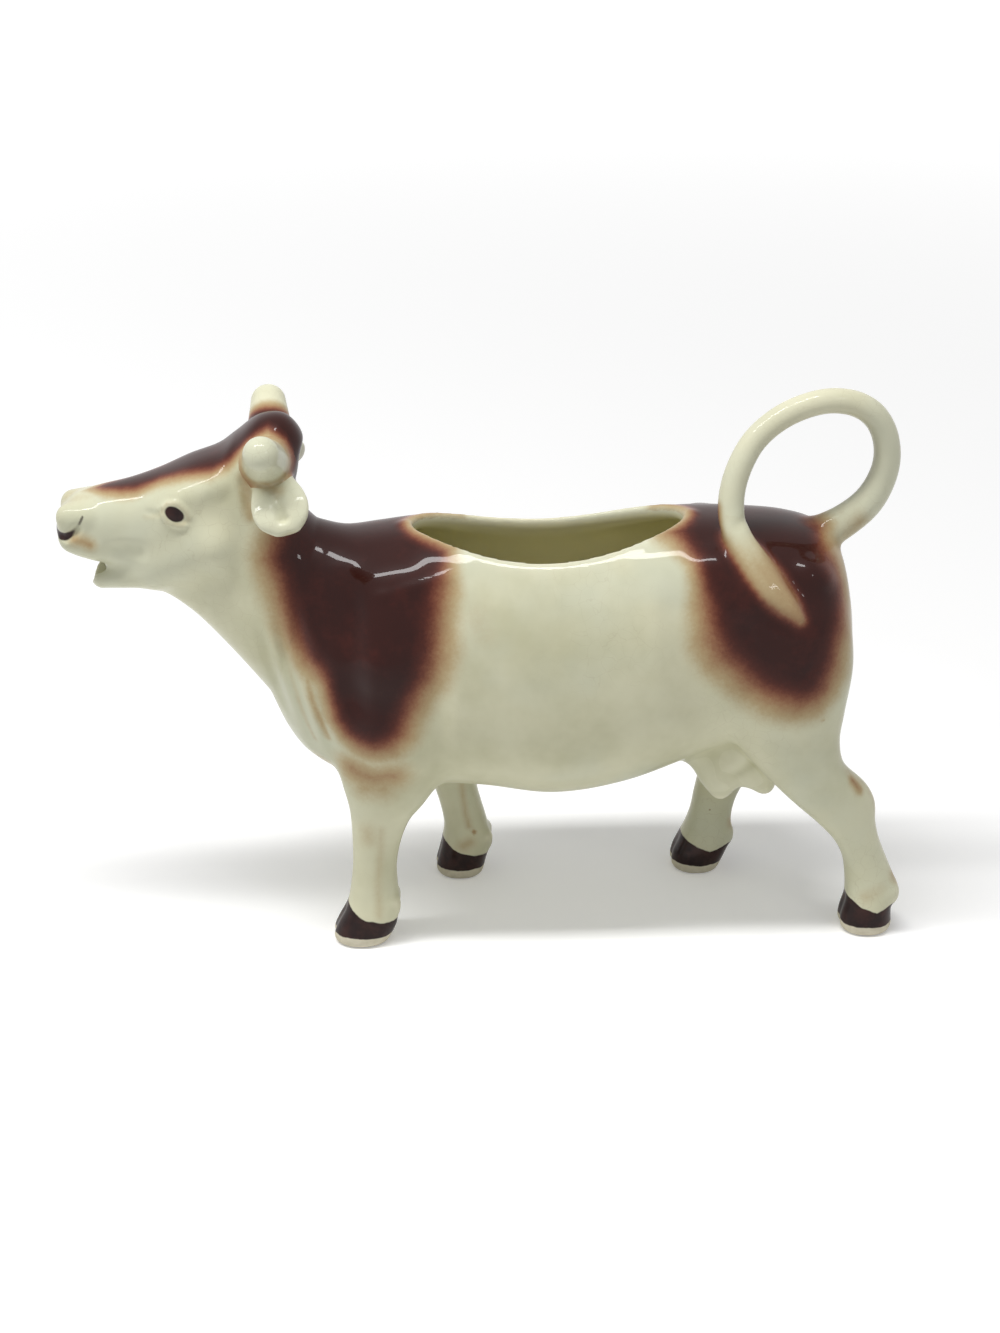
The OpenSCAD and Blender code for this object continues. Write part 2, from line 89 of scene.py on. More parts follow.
# A leg goes up from its sole: height, front x, back x, half width; then its upper limb inside the trunk.
# Its middle lies so far from the cow's at four heights.
legHeights, foreY, hindY = (0, 30, 55, 90), (15.5, 15.3, 15.2, 16.6), (15.5, 15.3, 15, 14)
legSquareness = 2.3
legs = {
    "foreleg_left": {"side": left, "rows": [
        [0, -36.6, -24.2, 6], [1.6, -37.3, -23.4, 6.5], [4.6, -36.2, -22, 6.3], [8, -34.4, -21.6, 5.9],
        [11.2, -33.3, -21.6, 5.2], [18.8, -32.3, -22, 4.7], [25.7, -32.2, -20.9, 4.8], [31.7, -32.4, -18.6, 5.3],
        [36, -33, -15.2, 6], [42, -34.4, -11.6, 7], [50, -35.5, -9.5, 8.2], [62, -35.8, -9, 8],
        [74, -31.5, -13.5, 4.8]], "y": foreY},
    "foreleg_right": {"side": right, "rows": [
        [0, -11.6, -1, 6], [1.4, -12.6, -0.5, 6.5], [4.4, -12, 0.2, 6.3], [8.4, -11.1, 1.2, 5.9],
        [13.9, -10.4, 0.2, 5], [23.3, -12.6, -2.2, 4.9], [31, -16, -3, 5.6], [40, -22, -5, 6.8],
        [50, -30, -8, 8.2], [62, -34, -8.5, 8], [74, -31.5, -13.5, 4.8]], "y": foreY},
    "hindleg_left": {"side": left, "rows": [
        [0, 83.5, 94.6, 6], [1.6, 82.6, 95.2, 6.4], [4.6, 82.9, 95, 6.3], [7.7, 83.7, 95.2, 5.9],
        [10.1, 83.8, 96.6, 5.5], [13.9, 83.5, 95, 4.9], [18.9, 82.6, 92.9, 4.6], [23.7, 80.2, 91, 4.7],
        [28.6, 75.8, 89.8, 5], [33.4, 70.6, 89.4, 5.6], [37.6, 66.4, 87.2, 6.2], [43, 61.6, 81.8, 7],
        [50, 56, 80.2, 8], [58, 51, 81, 8.6], [70, 48, 81.8, 8.6], [81, 53, 78.5, 6.5]], "y": hindY},
    "hindleg_right": {"side": right, "rows": [
        [0, 46.6, 57.6, 6], [1.6, 45.8, 58.3, 6.4], [4.6, 46.2, 59.6, 6.3], [8, 47.6, 60.8, 5.9],
        [11.6, 49.2, 60.6, 5.2], [15.6, 50.4, 60.8, 4.7], [20.7, 51.2, 62.2, 4.7], [27, 52.4, 65.8, 5.1],
        [34, 54, 71, 6], [42, 55, 78, 7.4], [50, 53, 80, 8.2], [58, 50, 81, 8.6],
        [70, 48, 81.8, 8.6], [81, 53, 78.5, 6.5]], "y": hindY},
}

# The tail: x, y, z, half thickness, half width, from its root in the rump round the loop to the tuft's point
tail = {
    "rows": [
        [69, 0, 90, 4.6, 5], [74.6, 0, 93.6, 4.3, 4.5], [80.9, 0, 97.2, 3.9, 3.9],
        [85.9, 0, 101.6, 3.6, 3.6], [88.8, 0, 107, 3.3, 3.3], [89.7, -0.5, 112.9, 3.1, 3.1],
        [88.4, -1, 119, 3, 3], [85.1, -1.5, 123.7, 2.95, 2.95], [79.8, -2, 126.3, 2.9, 2.9],
        [73, -3, 126.6, 2.85, 2.85], [65.4, -4, 124, 2.85, 2.85], [59.3, -5.5, 119.5, 2.85, 2.85],
        [55.7, -7, 113.8, 2.9, 2.9], [53.9, -8.4, 107.8, 2.95, 2.95], [53.8, -10.2, 102.6, 3, 3.1],
        [55.2, -13, 98.6, 2.9, 3.2], [58, -16.4, 94.6, 2.7, 3.6], [61.6, -19.4, 90.2, 2.4, 3.7],
        [65.2, -21.4, 86.2, 1.9, 2.6], [68.4, -22.6, 82.6, 1, 0.8]],
    "wide": (0.55, 0.75, 0.5),
}

# The udder's bag and teats, each an egg: its two ends (x, distance from the middle, z) and its two radii
udder = [((48.2, 5, 46), 5.4, (54.2, 6.4, 37), 4.4), ((60, 5.6, 43), 8.6, (62, 6.4, 40.6), 6.4),
         ((54.2, 6.8, 36), 3.4, (54.4, 7.2, 32.4), 1.7), ((63.6, 7.8, 37), 3.4, (64.6, 8.4, 34.2), 1.9)]


# Rows resampled along a smooth curve: a Catmull-Rom cubic between neighbouring rows
def smoothRows(rows, count, last=1.0):
    rows = np.array(rows, float)
    u = np.linspace(0, last * (len(rows) - 1), count)
    k = np.minimum(u.astype(int), len(rows) - 2)
    t = (u - k)[:, None]
    a, b, c, d = rows[np.maximum(k - 1, 0)], rows[k], rows[k + 1], rows[np.minimum(k + 2, len(rows) - 1)]
    return (2 * b + (c - a) * t + (2 * a - 5 * b + 4 * c - d) * t ** 2 + (3 * b - a - 3 * c + d) * t ** 3) / 2


def signedPower(value, power):
    return np.sign(value) * np.abs(value) ** power


# A loft through leaning sections: each section is a superellipse between its lowest and its highest point,
# across = half width times cosine, rise = half height times sine, both to the power 2 / squareness
def leaningRings(rows, around, out=0.0):
    high, low, halfWidth = rows[:, 0:2], rows[:, 2:4], rows[:, 4:5] + out
    square, lift = rows[:, 5:6], rows[:, 6:7]
    half = np.linalg.norm(high - low, axis=1, keepdims=True) / 2
    up = (high - low) / (2 * half)
    middle = (high + low) / 2
    angle = np.linspace(0, 2 * np.pi, around, endpoint=False)[None, :]
    across = halfWidth * signedPower(np.cos(angle), 2 / square)
    t = signedPower(np.sin(angle), 2 / square)
    rise = (half + out) * (t + lift * (1 - t * t))
    return np.stack([middle[:, 0:1] + up[:, 0:1] * rise, across, middle[:, 1:2] + up[:, 1:2] * rise], axis=2)


# A loft through flat sections of a leg, which are superellipses too, all of one squareness
def flatRings(rows, y, side, around):
    angle = np.linspace(0, 2 * np.pi, around, endpoint=False)[None, :]
    z, front, back, halfWidth = (rows[:, i:i + 1] for i in range(4))
    middleY = side * np.interp(z, legHeights, y)
    x = (front + back) / 2 + (back - front) / 2 * signedPower(np.cos(angle), 2 / legSquareness)
    across = halfWidth * signedPower(np.sin(angle), 2 / legSquareness)
    return np.stack([x, middleY + across, z + 0 * x], axis=2)


# A tube along a path: at each point an ellipse square to the path, its wide axis as near to "wide" as it can be
def tubeRings(path, halfWidth, halfThickness, wide, around, cup=0.0):
    along = np.gradient(path, axis=0)
    along /= np.linalg.norm(along, axis=1, keepdims=True)
    wide = np.broadcast_to(np.array(wide, float), path.shape)
    u = wide - (wide * along).sum(1, keepdims=True) * along
    u /= np.linalg.norm(u, axis=1, keepdims=True)
    v = np.cross(along, u)
    angle = np.linspace(0, 2 * np.pi, around, endpoint=False)[None, :, None]
    across = halfWidth[:, None, None] * np.cos(angle)
    through = halfThickness[:, None, None] * np.sin(angle) - cup * across ** 2
    return path[:, None] + u[:, None] * across + v[:, None] * through


# Rings joined into one closed skin, with a middle point on each end; faces point outwards
def closedSkin(rings):
    count, around = rings.shape[:2]
    points = np.concatenate([rings.reshape(-1, 3), rings[0].mean(0)[None], rings[-1].mean(0)[None]])
    index = np.arange(count * around).reshape(count, around)
    after = np.roll(index, -1, axis=1)
    a, b, c, d = (row.ravel() for row in (index[:-1], after[:-1], after[1:], index[1:]))
    first, last = np.full((2, around), count * around) + [[0], [1]]
    faces = np.concatenate([
        np.stack([a, b, c], 1), np.stack([a, c, d], 1),
        np.stack([first, after[0], index[0]], 1), np.stack([last, index[-1], after[-1]], 1)])
    p, q, r = (points[faces[:, n]] for n in range(3))
    if (p * np.cross(q, r)).sum() < 0:
        faces = faces[:, ::-1]
    return points, np.ascontiguousarray(faces)


# Distance from each point to a line of points, and how far along the line its nearest place is, from 0 to 1
def nearLine(points, line):
    p = np.array(line if len(line) > 1 else list(line) * 2, float)
    nearest, place = np.full(points.shape[:-1], 1e9), np.zeros(points.shape[:-1])
    for n, (a, b) in enumerate(zip(p[:-1], p[1:])):
        t = np.clip(((points - a) @ (b - a)) / max((b - a) @ (b - a), 1e-9), 0, 1)
        gap = np.linalg.norm(points - a - t[..., None] * (b - a), axis=-1)
        place = np.where(gap < nearest, (n + t) / (len(p) - 1), place)
        nearest = np.minimum(nearest, gap)
    return nearest, place


# The clay: solids are kept as distances to their skin, on a grid of cells
band = 4.5  # how far from the skin the distances are kept


def makeGrid(low, high, step):
    start = np.floor(np.array(low) / step).astype(int)
    size = np.ceil(np.array(high) / step).astype(int) - start + 1
    return {"start": start, "size": size, "step": step}


# The part of a grid that lies in a box: as slices, as the places of its cells, and its first cell
def cellsIn(grid, low, high):
    first = np.clip(np.floor(np.array(low) / grid["step"]).astype(int) - grid["start"], 0, grid["size"])
    last = np.clip(np.ceil(np.array(high) / grid["step"]).astype(int) + 1 - grid["start"], 0, grid["size"])
    if np.any(last - first < 2):
        return None
    axes = [(np.arange(a, b) + s) * grid["step"] for a, b, s in zip(first, last, grid["start"])]
    places = np.stack(np.meshgrid(*axes, indexing="ij"), -1)
    return tuple(slice(a, b) for a, b in zip(first, last)), places, first + grid["start"]


# Two solids joined with a fillet: the lower of two distances, less a share of how near they are to each other
def joined(a, b, fillet):
    if fillet <= 0:
        return np.minimum(a, b)
    near = np.maximum(fillet - np.abs(a - b), 0) / fillet
    return np.minimum(a, b) - near * near * fillet / 4


# A part laid on the clay, or cut out of it, which is the same with the clay turned inside out
def laid(clay, part, fillet, cut):
    return -joined(-clay, part, fillet) if cut else joined(clay, part, fillet)


def addLoft(grid, clay, rings, fillet, cut=False):
    points, faces = closedSkin(rings)
    cells = cellsIn(grid, points.min(0) - band, points.max(0) + band)
    if cells is None:
        return
    block, _, start = cells
    volume = openvdb.FloatGrid.createLevelSetFromPolygons(
        points.astype(np.float32), triangles=faces.astype(np.uint32),
        transform=openvdb.createLinearTransform(voxelSize=grid["step"]), halfWidth=band / grid["step"])
    part = np.zeros(clay[block].shape, np.float32)
    volume.copyToArray(part, ijk=tuple(int(v) for v in start))
    clay[block] = laid(clay[block], part, fillet, cut)


# An egg between two balls: distance to the line between them, less a radius that runs from one to the other
def addEgg(grid, clay, a, radiusA, b, radiusB, fillet, flat=(1, 1, 1), cut=False):
    a, b, flat = np.array(a, float), np.array(b, float), np.array(flat, float)
    reach = max(radiusA, radiusB) / flat.min() + fillet + 1
    cells = cellsIn(grid, np.minimum(a, b) - reach, np.maximum(a, b) + reach)
    if cells is None:
        return
    gap, along = nearLine(cells[1] * flat, [a * flat, b * flat])
    part = (gap - radiusA - (radiusB - radiusA) * along).astype(np.float32)
    clay[cells[0]] = laid(clay[cells[0]], part, fillet, cut)


# A thumb's stroke along a line of points: raises the skin by height, fading to nothing at the radius;
# a negative height is a furrow. A stroke drawn in x and z alone works on the whole depth of its side.
def stroke(grid, clay, points, radius, height, sides=both, ends=0.25):
    across = len(points[0]) == 2
    for side in sides:
        p = np.array([[q[0], 0, q[1]] if across else [q[0], side * abs(q[1]), q[2]] for q in points], float)
        low, high = p.min(0) - radius, p.max(0) + radius
        if across:
            low[1], high[1] = (0, 40) if side == right else (-40, 0)
        cells = cellsIn(grid, low, high)
        if cells is None:
            continue
        block, places, _ = cells
        gap, place = nearLine(places[:, :1] * [1, 0, 1] if across else places, p)
        fade = np.clip(1 - (gap / radius) ** 2, 0, 1) ** 2
        if ends > 0:
            fade = fade * np.clip(np.minimum(place, 1 - place) / ends + 0.15, 0, 1)
        if across:  # nothing is moved on the middle line
            fade = fade * np.clip(np.abs(places[..., 1]) / 6, 0, 1)
        clay[block] -= (height * fade).astype(np.float32)


def addStrokes(grid, clay, strokes):
    for line in strokes:
        stroke(grid, clay, *line)


# Each cell takes a quarter of both neighbours and half of itself, along each axis in turn
def soften(clay, passes):
    for _ in range(passes):
        for axis in range(3):
            middle = [slice(None)] * 3
            before, after = list(middle), list(middle)
            middle[axis], before[axis], after[axis] = slice(1, -1), slice(0, -2), slice(2, None)
            clay[tuple(middle)] = (clay[tuple(before)] + 2 * clay[tuple(middle)] + clay[tuple(after)]) / 4
    return clay


# The trunk's sections from the rump forward, and the head's going on from the neck joint
def sections(count, trunkEnd=1.0, headEnd=1.0):
    return (smoothRows(trunk["rows"], count, trunkEnd)[::-1],
            smoothRows([trunk["rows"][0]] + head["rows"], count, headEnd)[1:])


# How softly each form flows into the clay that it meets
fillets = {"leg": 3.2, "tail": 2.0, "udder": 4.0, "horn": 2.6, "ear": 1.3, "dewclaw": 1.2,
           "wall": 1.2, "hole": 1.8, "spout": 0.7}


# The whole cow as distances on a grid, hollowed out and, as a second answer, still solid
def cowClay(grid):
    clay = np.full(grid["size"], band, np.float32)
    addLoft(grid, clay, leaningRings(np.concatenate(sections(150)), 140), 0)
    for leg in legs.values():
        addLoft(grid, clay, flatRings(smoothRows(leg["rows"], 90), leg["y"], leg["side"], 56), fillets["leg"])
    shapeTrunk(grid, clay)
    shapeHead(grid, clay)
    addLoft(grid, clay, tailRings(220, 40), fillets["tail"])
    addStrokes(grid, clay, tuftStrokes)
    shapeLegs(grid, clay)
    soften(clay, 1)
    outer = clay.copy()
    hollowOut(grid, clay)
    for axis in range(3):  # the edges of the grid count as air, so that the skin closes there
        np.moveaxis(clay, axis, 0)[[0, -1]] = band
    return clay, outer


# The tail as a tube: round along the loop, and on the flank with its width against the skin
def tailRings(count, around, fatter=0.0):
    rows = smoothRows(tail["rows"], count)
    return tubeRings(rows[:, :3], rows[:, 4] + fatter, rows[:, 3] + fatter, tail["wide"], around)


# Eggs on one side of the cow, each with its ends (x, distance from the middle, z), their radii and a fillet
def addEggs(grid, clay, eggs, side):
    for a, radiusA, b, radiusB, fillet in eggs:
        addEgg(grid, clay, np.multiply(a, (1, side, 1)), radiusA, np.multiply(b, (1, side, 1)), radiusB, fillet)


def addUdder(grid, clay, fatter, fillet):
    for a, radiusA, b, radiusB in udder:
        for side in both:
            addEggs(grid, clay, [(a, radiusA + fatter, b, radiusB + fatter, fillet)], side)


# Muscles, bones, valleys and creases of the trunk. A stroke has its points, radius and height, and may name
# its sides and how long its ends fade.
trunkForms = {
    "eggs": [
        ((-25, 17.5, 73), 7.6, (-21, 12, 86.5), 6, 5),  # shoulder blade
        ((-28.5, 17, 58), 7.4, (-21, 17.6, 53), 7.2, 4),  # point of the shoulder
        ((49.5, 14.5, 91.5), 3.6, (56, 18, 86), 3.4, 5),  # hip bone
        ((70.8, 13.7, 89.3), 4.4, (71.8, 13.5, 88.6), 4.4, 2.2),  # pin bone
        ((66, 15, 62), 9, (70, 14, 76), 8, 5)],  # thigh
    "strokes": [
        ([(-33.5, 93), (-31, 84), (-30.4, 74), (-31, 62), (-33, 50)], 5, -1.5),  # neck valley
        ([(-9, 88), (-11.5, 79), (-12, 68), (-12.6, 58), (-13.5, 47)], 4.6, -1.1),  # behind the foreleg
        ([(-44, 88), (-42.2, 77), (-39.8, 67), (-37.6, 57), (-36.4, 46)], 2.6, -0.75),  # folds of the dewlap
        ([(-47.6, 84), (-46, 74), (-43.6, 64), (-41, 55), (-39, 47)], 2.6, -0.7),
        ([(-51.5, 79), (-49.6, 71), (-47, 63), (-44.2, 55)], 2.4, -0.6),
        ([(-45.8, 88), (-44.2, 76), (-41.8, 66), (-39.4, 56), (-37.6, 47)], 2.4, 0.6),
        ([(-49.6, 82), (-47.8, 73), (-45.4, 64), (-42.8, 55)], 2.4, 0.55),
        ([(44, 92), (43, 84), (43.6, 74), (45.6, 62), (48, 52)], 8, -1.2),  # flank hollow
        ([(60, 19.5, 92), (65, 19.6, 90), (68.4, 20.4, 86.4)], 4.4, -0.7),  # between hip and pin
        ([(68, 23.5, 69.4), (70.4, 23.6, 70.4), (72, 22.6, 73.4)], 1.6, -0.45, (left,)),  # creases in the haunch
        ([(57, 23.5, 82.4), (57.4, 23.8, 78.6), (58.6, 24, 76.4)], 1.6, -0.4, (left,)),
        ([(-18.6, 0, 98), (-13, 7.2, 97.6), (-2, 12.6, 96.6), (13.6, 14.8, 96.4), (30, 12.6, 97.4),
          (40.6, 7.2, 98.6), (45.6, 0, 99.6)], 2.6, 0.4, both, 0),  # lip of the filling hole
        ([(-28, 19, 89), (-22, 19.4, 89), (-13.4, 17.4, 91), (-6, 15.6, 93)], 2.4, 0.45)],  # shoulder's ridge
}


def shapeTrunk(grid, clay):
    for side in both:
        addEggs(grid, clay, trunkForms["eggs"], side)
    addUdder(grid, clay, 0, fillets["udder"])
    addStrokes(grid, clay, trunkForms["strokes"])


def hornEnds(side):
    return [np.array(horn[end]) * [1, side, 1] for end in ("root", "tip")]


# An ear's path and its rings; the right one leans a little further forward
def earRings(side, longer=0.0, fatter=0.0):
    rows = smoothRows([p + [w, t] for p, w, t in zip(ear["path"], ear["halfWidth"], ear["halfThickness"])], 60)
    if side == right:
        rows[:, 0] -= np.linspace(*ear["lean"], 60)
    path = rows[:, :3] * [1, side, 1] + np.linspace(0, longer, 60)[:, None] * [0.1, side * 0.6, -0.7]
    return path, tubeRings(path, rows[:, 3] + fatter, rows[:, 4] + fatter, ear["wide"], 44, side * ear["cup"])


# Forms of the head, written as the trunk's are; jaw and lips are eggs on the middle line, with how far they are
# squeezed in x, y and z
headForms = {
    "eggs": [
        ((-72.5, 6, 91.6), 3.4, (-61.5, 8.4, 97.5), 5, 5),  # jaw bone
        ((-93, 4.6, 103), 2.9, (-89, 5.4, 103.4), 2.7, 1.6),  # nostril wing
        ((-92.6, 4.8, 97.6), 2.6, (-87.6, 5.6, 96), 2.4, 2.4),  # upper lip
        ((-67.5, 9.2, 108.6), 1.5, (-59.5, 9.2, 111.8), 1.9, 2.6),  # brow
        ((-69.6, 9.3, 105.8), 2.7, (-69, 9.4, 105.3), 2.7, 1.2)],  # eyeball
    "jaw": ((-76, 0, 89.5), 4.8, (-86.8, 0, 87.6), 3.1, 2, (1, 0.58, 1)),
    "strokes": [
        ([(-72.2, 10.9, 106.9), (-70.6, 11.2, 108.4), (-68.2, 11.5, 108.4), (-66.4, 11.8, 106.8),
          (-65.6, 12, 104.6)], 1.1, 0.6, both, 0.1),  # lids
        ([(-72.2, 10.9, 106.3), (-70.9, 11.6, 104.2), (-68.8, 12.1, 103.1), (-66, 12.2, 103.4)], 1.1, 0.6, both, 0.1),
        ([(-76, 9.4, 105.9), (-73.6, 10.2, 105.6), (-71.6, 11, 105.8)], 1.1, -0.4),  # corner of the eye
        ([(-54.6, 10.8, 114), (-53.4, 11.4, 110.5), (-52.8, 11.8, 106)], 1.5, -0.6),  # in front of the ear
        ([(-95.8, 4.6, 99.3), (-93.6, 7, 99), (-91.6, 7.8, 100.4), (-90.3, 8.2, 102.6)], 1.6, -0.9),  # nostril
        ([(-85, 8, 95.4), (-80, 8.8, 96.6), (-75, 9.8, 96.4)], 3.2, -0.6),  # cheek
        ([(-46.6, 13.5, 110.9), (-45.4, 17.6, 108.3), (-44.4, 20.4, 105.6)], 3.2, -1.4)],  # shell of the ear
    "lips": ((-98, 0, 92.2), 1.9, (-86.4, 0, 91.2), 0.5, 0.8, (1, 0.14, 1)),
}
tuftStrokes = [
    ([(55, -15, 99), (59, -19.4, 94), (63, -22, 88.6), (66.6, -23.4, 84.4)], 1.3, -0.7, (left,)),
    ([(58.4, -14.4, 97), (62.4, -18.6, 91.6), (66, -21.6, 86.4)], 1.1, -0.45, (left,)),
    ([(53.6, -14.6, 101.6), (55.4, -13.4, 102.4), (57, -10, 102.8)], 1.5, -0.6, (left,))]  # waist


def shapeHead(grid, clay):
    for side in both:
        root, tip = hornEnds(side)
        addEgg(grid, clay, root, horn["rootRadius"], tip, horn["tipRadius"], fillets["horn"])
        addLoft(grid, clay, earRings(side)[1], fillets["ear"])
        addEggs(grid, clay, headForms["eggs"], side)
    addEgg(grid, clay, *headForms["jaw"])
    addStrokes(grid, clay, headForms["strokes"])
    addEgg(grid, clay, *headForms["lips"], cut=True)


# The cleft up the front and the back of a hoof, and the two dewclaws behind it
def shapeLegs(grid, clay):
    for leg in legs.values():
        side, y = leg["side"], leg["side"] * leg["y"][0]
        heights, front, back = np.array(leg["rows"], float)[:, :3].T
        for edge, top in ((front, 8.0), (back, 6.0)):
            cleft = [(np.interp(z, heights, edge), y, z) for z in (0.0, top / 2, top)]
            stroke(grid, clay, cleft, 1.5, -0.8, (side,), 0)
        heel = np.interp(8.6, heights, back)
        for across in (-2.6, 2.6):
            addEgg(grid, clay, (heel - 1.4, y + across, 10.2), 1.9, (heel - 1.0, y + across, 8.6), 1.3,
                   fillets["dewclaw"])


# The hollow follows the outside at the wall's thickness; an oval shaft opens it at the back, and the spout in front
def hollowOut(grid, clay):
    hole, spout = trunk["hole"], head["spout"]
    hollow = np.concatenate(sections(110, trunk["hollowEnd"], head["hollowEnd"]))
    addLoft(grid, clay, leaningRings(hollow, 120, -trunk["wall"]), fillets["wall"], cut=True)
    turn = np.linspace(0, 2 * np.pi, 96, endpoint=False)
    oval = np.stack([hole["x"] + hole["length"] / 2 * np.cos(turn), hole["width"] / 2 * np.sin(turn)], 1)
    shaft = np.stack([np.concatenate([oval, np.full((96, 1), z)], 1) for z in np.linspace(80, 112, 30)])
    addLoft(grid, clay, shaft, fillets["hole"], cut=True)
    radius = spout["halfHeight"]
    addEgg(grid, clay, (spout["start"], 0, spout["z"] + 0.6), radius, (-102.0, 0, spout["z"] - 0.2), radius,
           fillets["spout"], (1, radius / spout["halfWidth"], 1), cut=True)


# Distances between cells, worked out from the eight cells round each point
def readClay(grid, clay, points):
    q = points / grid["step"] - grid["start"]
    base = np.clip(np.floor(q).astype(int), 0, grid["size"] - 2)
    f = q - base
    total = 0
    for dx in (0, 1):
        for dy in (0, 1):
            for dz in (0, 1):
                weight = ((f[:, 0] if dx else 1 - f[:, 0]) * (f[:, 1] if dy else 1 - f[:, 1])
                          * (f[:, 2] if dz else 1 - f[:, 2]))
                total = total + weight * clay[base[:, 0] + dx, base[:, 1] + dy, base[:, 2] + dz]
    return total


def slopeOf(grid, clay, points):
    steps = grid["step"] * np.eye(3)
    return np.stack([readClay(grid, clay, points + step) - readClay(grid, clay, points - step)
                     for step in steps], 1) / (2 * grid["step"])


# The skin: quads where the distance is nought, evened out along the skin and drawn back to it after each pass
def skinOf(grid, clay, passes=6):
    volume = openvdb.FloatGrid(band)
    volume.copyFromArray(clay, ijk=tuple(int(v) for v in grid["start"]))
    volume.transform = openvdb.createLinearTransform(voxelSize=grid["step"])
    points, quads = volume.convertToQuads(0)
    points, quads = points.astype(float), quads.astype(np.int64)
    a, b, c, d = (points[quads[:, n]] for n in range(4))
    if (a * np.cross(b, c)).sum() + (a * np.cross(c, d)).sum() < 0:
        quads = quads[:, ::-1]
    edges = np.concatenate([quads[:, [n, (n + 1) % 4]] for n in range(4)])
    weight = np.bincount(edges.ravel(), minlength=len(points))
    for _ in range(passes):
        mean = np.stack([np.bincount(edges[:, 0], points[edges[:, 1], n], len(points))
                         + np.bincount(edges[:, 1], points[edges[:, 0], n], len(points)) for n in range(3)], 1)
        points = points + 0.5 * (mean / weight[:, None] - points)
        for _ in range(2):
            slope = slopeOf(grid, clay, points)
            length2 = np.maximum((slope * slope).sum(1), 0.05)
            points = points - slope * (readClay(grid, clay, points) / length2)[:, None]
    return points, quads


def newMesh(name, points, faces):
    mesh = bpy.data.meshes.new(name)
    mesh.from_pydata(np.asarray(points).tolist(), [], np.asarray(faces).tolist())
    return mesh


def newObject(name, mesh):
    obj = bpy.data.objects.new(name, mesh)
    bpy.context.scene.collection.objects.link(obj)
    return obj


def boxMesh(low, high):
    corner = np.array([[x, y, z] for x in (0, 1) for y in (0, 1) for z in (0, 1)])
    points = np.array(low) + corner * (np.array(high) - np.array(low))
    return points, [[0, 1, 3, 2], [4, 6, 7, 5], [0, 4, 5, 1], [2, 3, 7, 6], [0, 2, 6, 4], [1, 5, 7, 3]]


# One mesh cut with another, and the result as a plain mesh
def carved(mesh, tool, operation):
    a, b = newObject("carved", mesh), newObject("tool", tool)
    step = a.modifiers.new("cut", "BOOLEAN")
    step.operation, step.object, step.solver = operation, b, "MANIFOLD"
    made = bpy.data.meshes.new_from_object(a.evaluated_get(bpy.context.evaluated_depsgraph_get()))
    for obj in (a, b):
        bpy.data.objects.remove(obj)
    return made


def taken(mesh, tool):
    return carved(mesh, tool, "INTERSECT"), carved(mesh, tool, "DIFFERENCE")


# A cutter a little fatter than the piece that it takes, and cut to the trunk or head, drawn out by a little
def seamTool(low, high, step, add, base):
    grid = makeGrid(low, high, step)
    clay = np.full(grid["size"], band, np.float32)
    add(grid, clay)
    for rings in base:
        addLoft(grid, clay, rings, 0, cut=True)
    return newMesh("seam", *skinOf(grid, clay, 1))


bodyGrid = makeGrid((-60, -29, -3), (101, 29, 134), 0.7)
headGrid = makeGrid((-101, -27, 50), (-24, 27, 131), 0.34)
bodyClay, bodyOuter = cowClay(bodyGrid)
headClay, headOuter = cowClay(headGrid)
neckTop, neckLow, neckBlend = np.array([-37.6, 98.5]), np.array([-50.4, 59.0]), 8
slant = (neckLow - neckTop) / np.linalg.norm(neckLow - neckTop)


# Behind the neck joint the coarse clay takes its distances from the fine one, less and less over neckBlend
def blendAtNeck(coarse, fine):
    block, places, _ = cellsIn(bodyGrid, (-56, -26, 52), (-26, 26, 120))
    behind = (places[..., 2] - neckTop[1]) * slant[0] - (places[..., 0] - neckTop[0]) * slant[1]
    share = np.clip(1 - behind / neckBlend, 0, 1)
    share = share * share * (3 - 2 * share)
    wanted = readClay(headGrid, fine, places.reshape(-1, 3)).reshape(share.shape)
    coarse[block] += (share * (wanted - coarse[block])).astype(np.float32)


blendAtNeck(bodyClay, headClay)
print("clay: worked out")

bodyMesh = newMesh("body", *skinOf(bodyGrid, bodyClay))
headMesh = newMesh("headSkin", *skinOf(headGrid, headClay))
print("skin:", len(bodyMesh.polygons), "and", len(headMesh.polygons), "quads")

# The neck joint: a slanting plane, and all that lies in front of it is the head
corners = [neckTop - 45 * slant, neckLow + 45 * slant, (-140, -10), (-140, 150)]
neckTool = newMesh("neckTool", [[x, y, z] for y in (-60, 60) for x, z in corners],
                   [[3, 2, 1, 0], [4, 5, 6, 7], [0, 1, 5, 4], [1, 2, 6, 5], [2, 3, 7, 6], [3, 0, 4, 7]])
headRest = carved(headMesh, neckTool, "INTERSECT")
bodyRest = carved(bodyMesh, neckTool, "DIFFERENCE")

# How much fatter each cutter is than the piece that it takes, and the boxes that take the legs
seams = {
    "horn": 0.9, "ear": 1.1, "earLonger": 1.6, "tail": 0.9, "udder": 0.8, "head": 0.45, "trunk": 0.4,
    "foreleg_left": ((-50, -30, -9), (-5, -3, 34)), "foreleg_right": ((-32, 3, -9), (12, 30, 34)),
    "hindleg_left": ((67.5, -30, -9), (110, -3, 34)), "hindleg_right": ((38, 3, -9), (90, 30, 29.6)),
}
bodyRows, neckRows = sections(150)
headLoft = leaningRings(np.concatenate([bodyRows[-25:], neckRows]), 120, seams["head"])
trunkLoft = leaningRings(bodyRows, 120, seams["trunk"])
tailGrid = makeGrid((44, -30, 74), (96, 12, 108), 0.8)
tailGround = np.full(tailGrid["size"], band, np.float32)
addLoft(tailGrid, tailGround, leaningRings(bodyRows, 120), 0)
meshes = {}
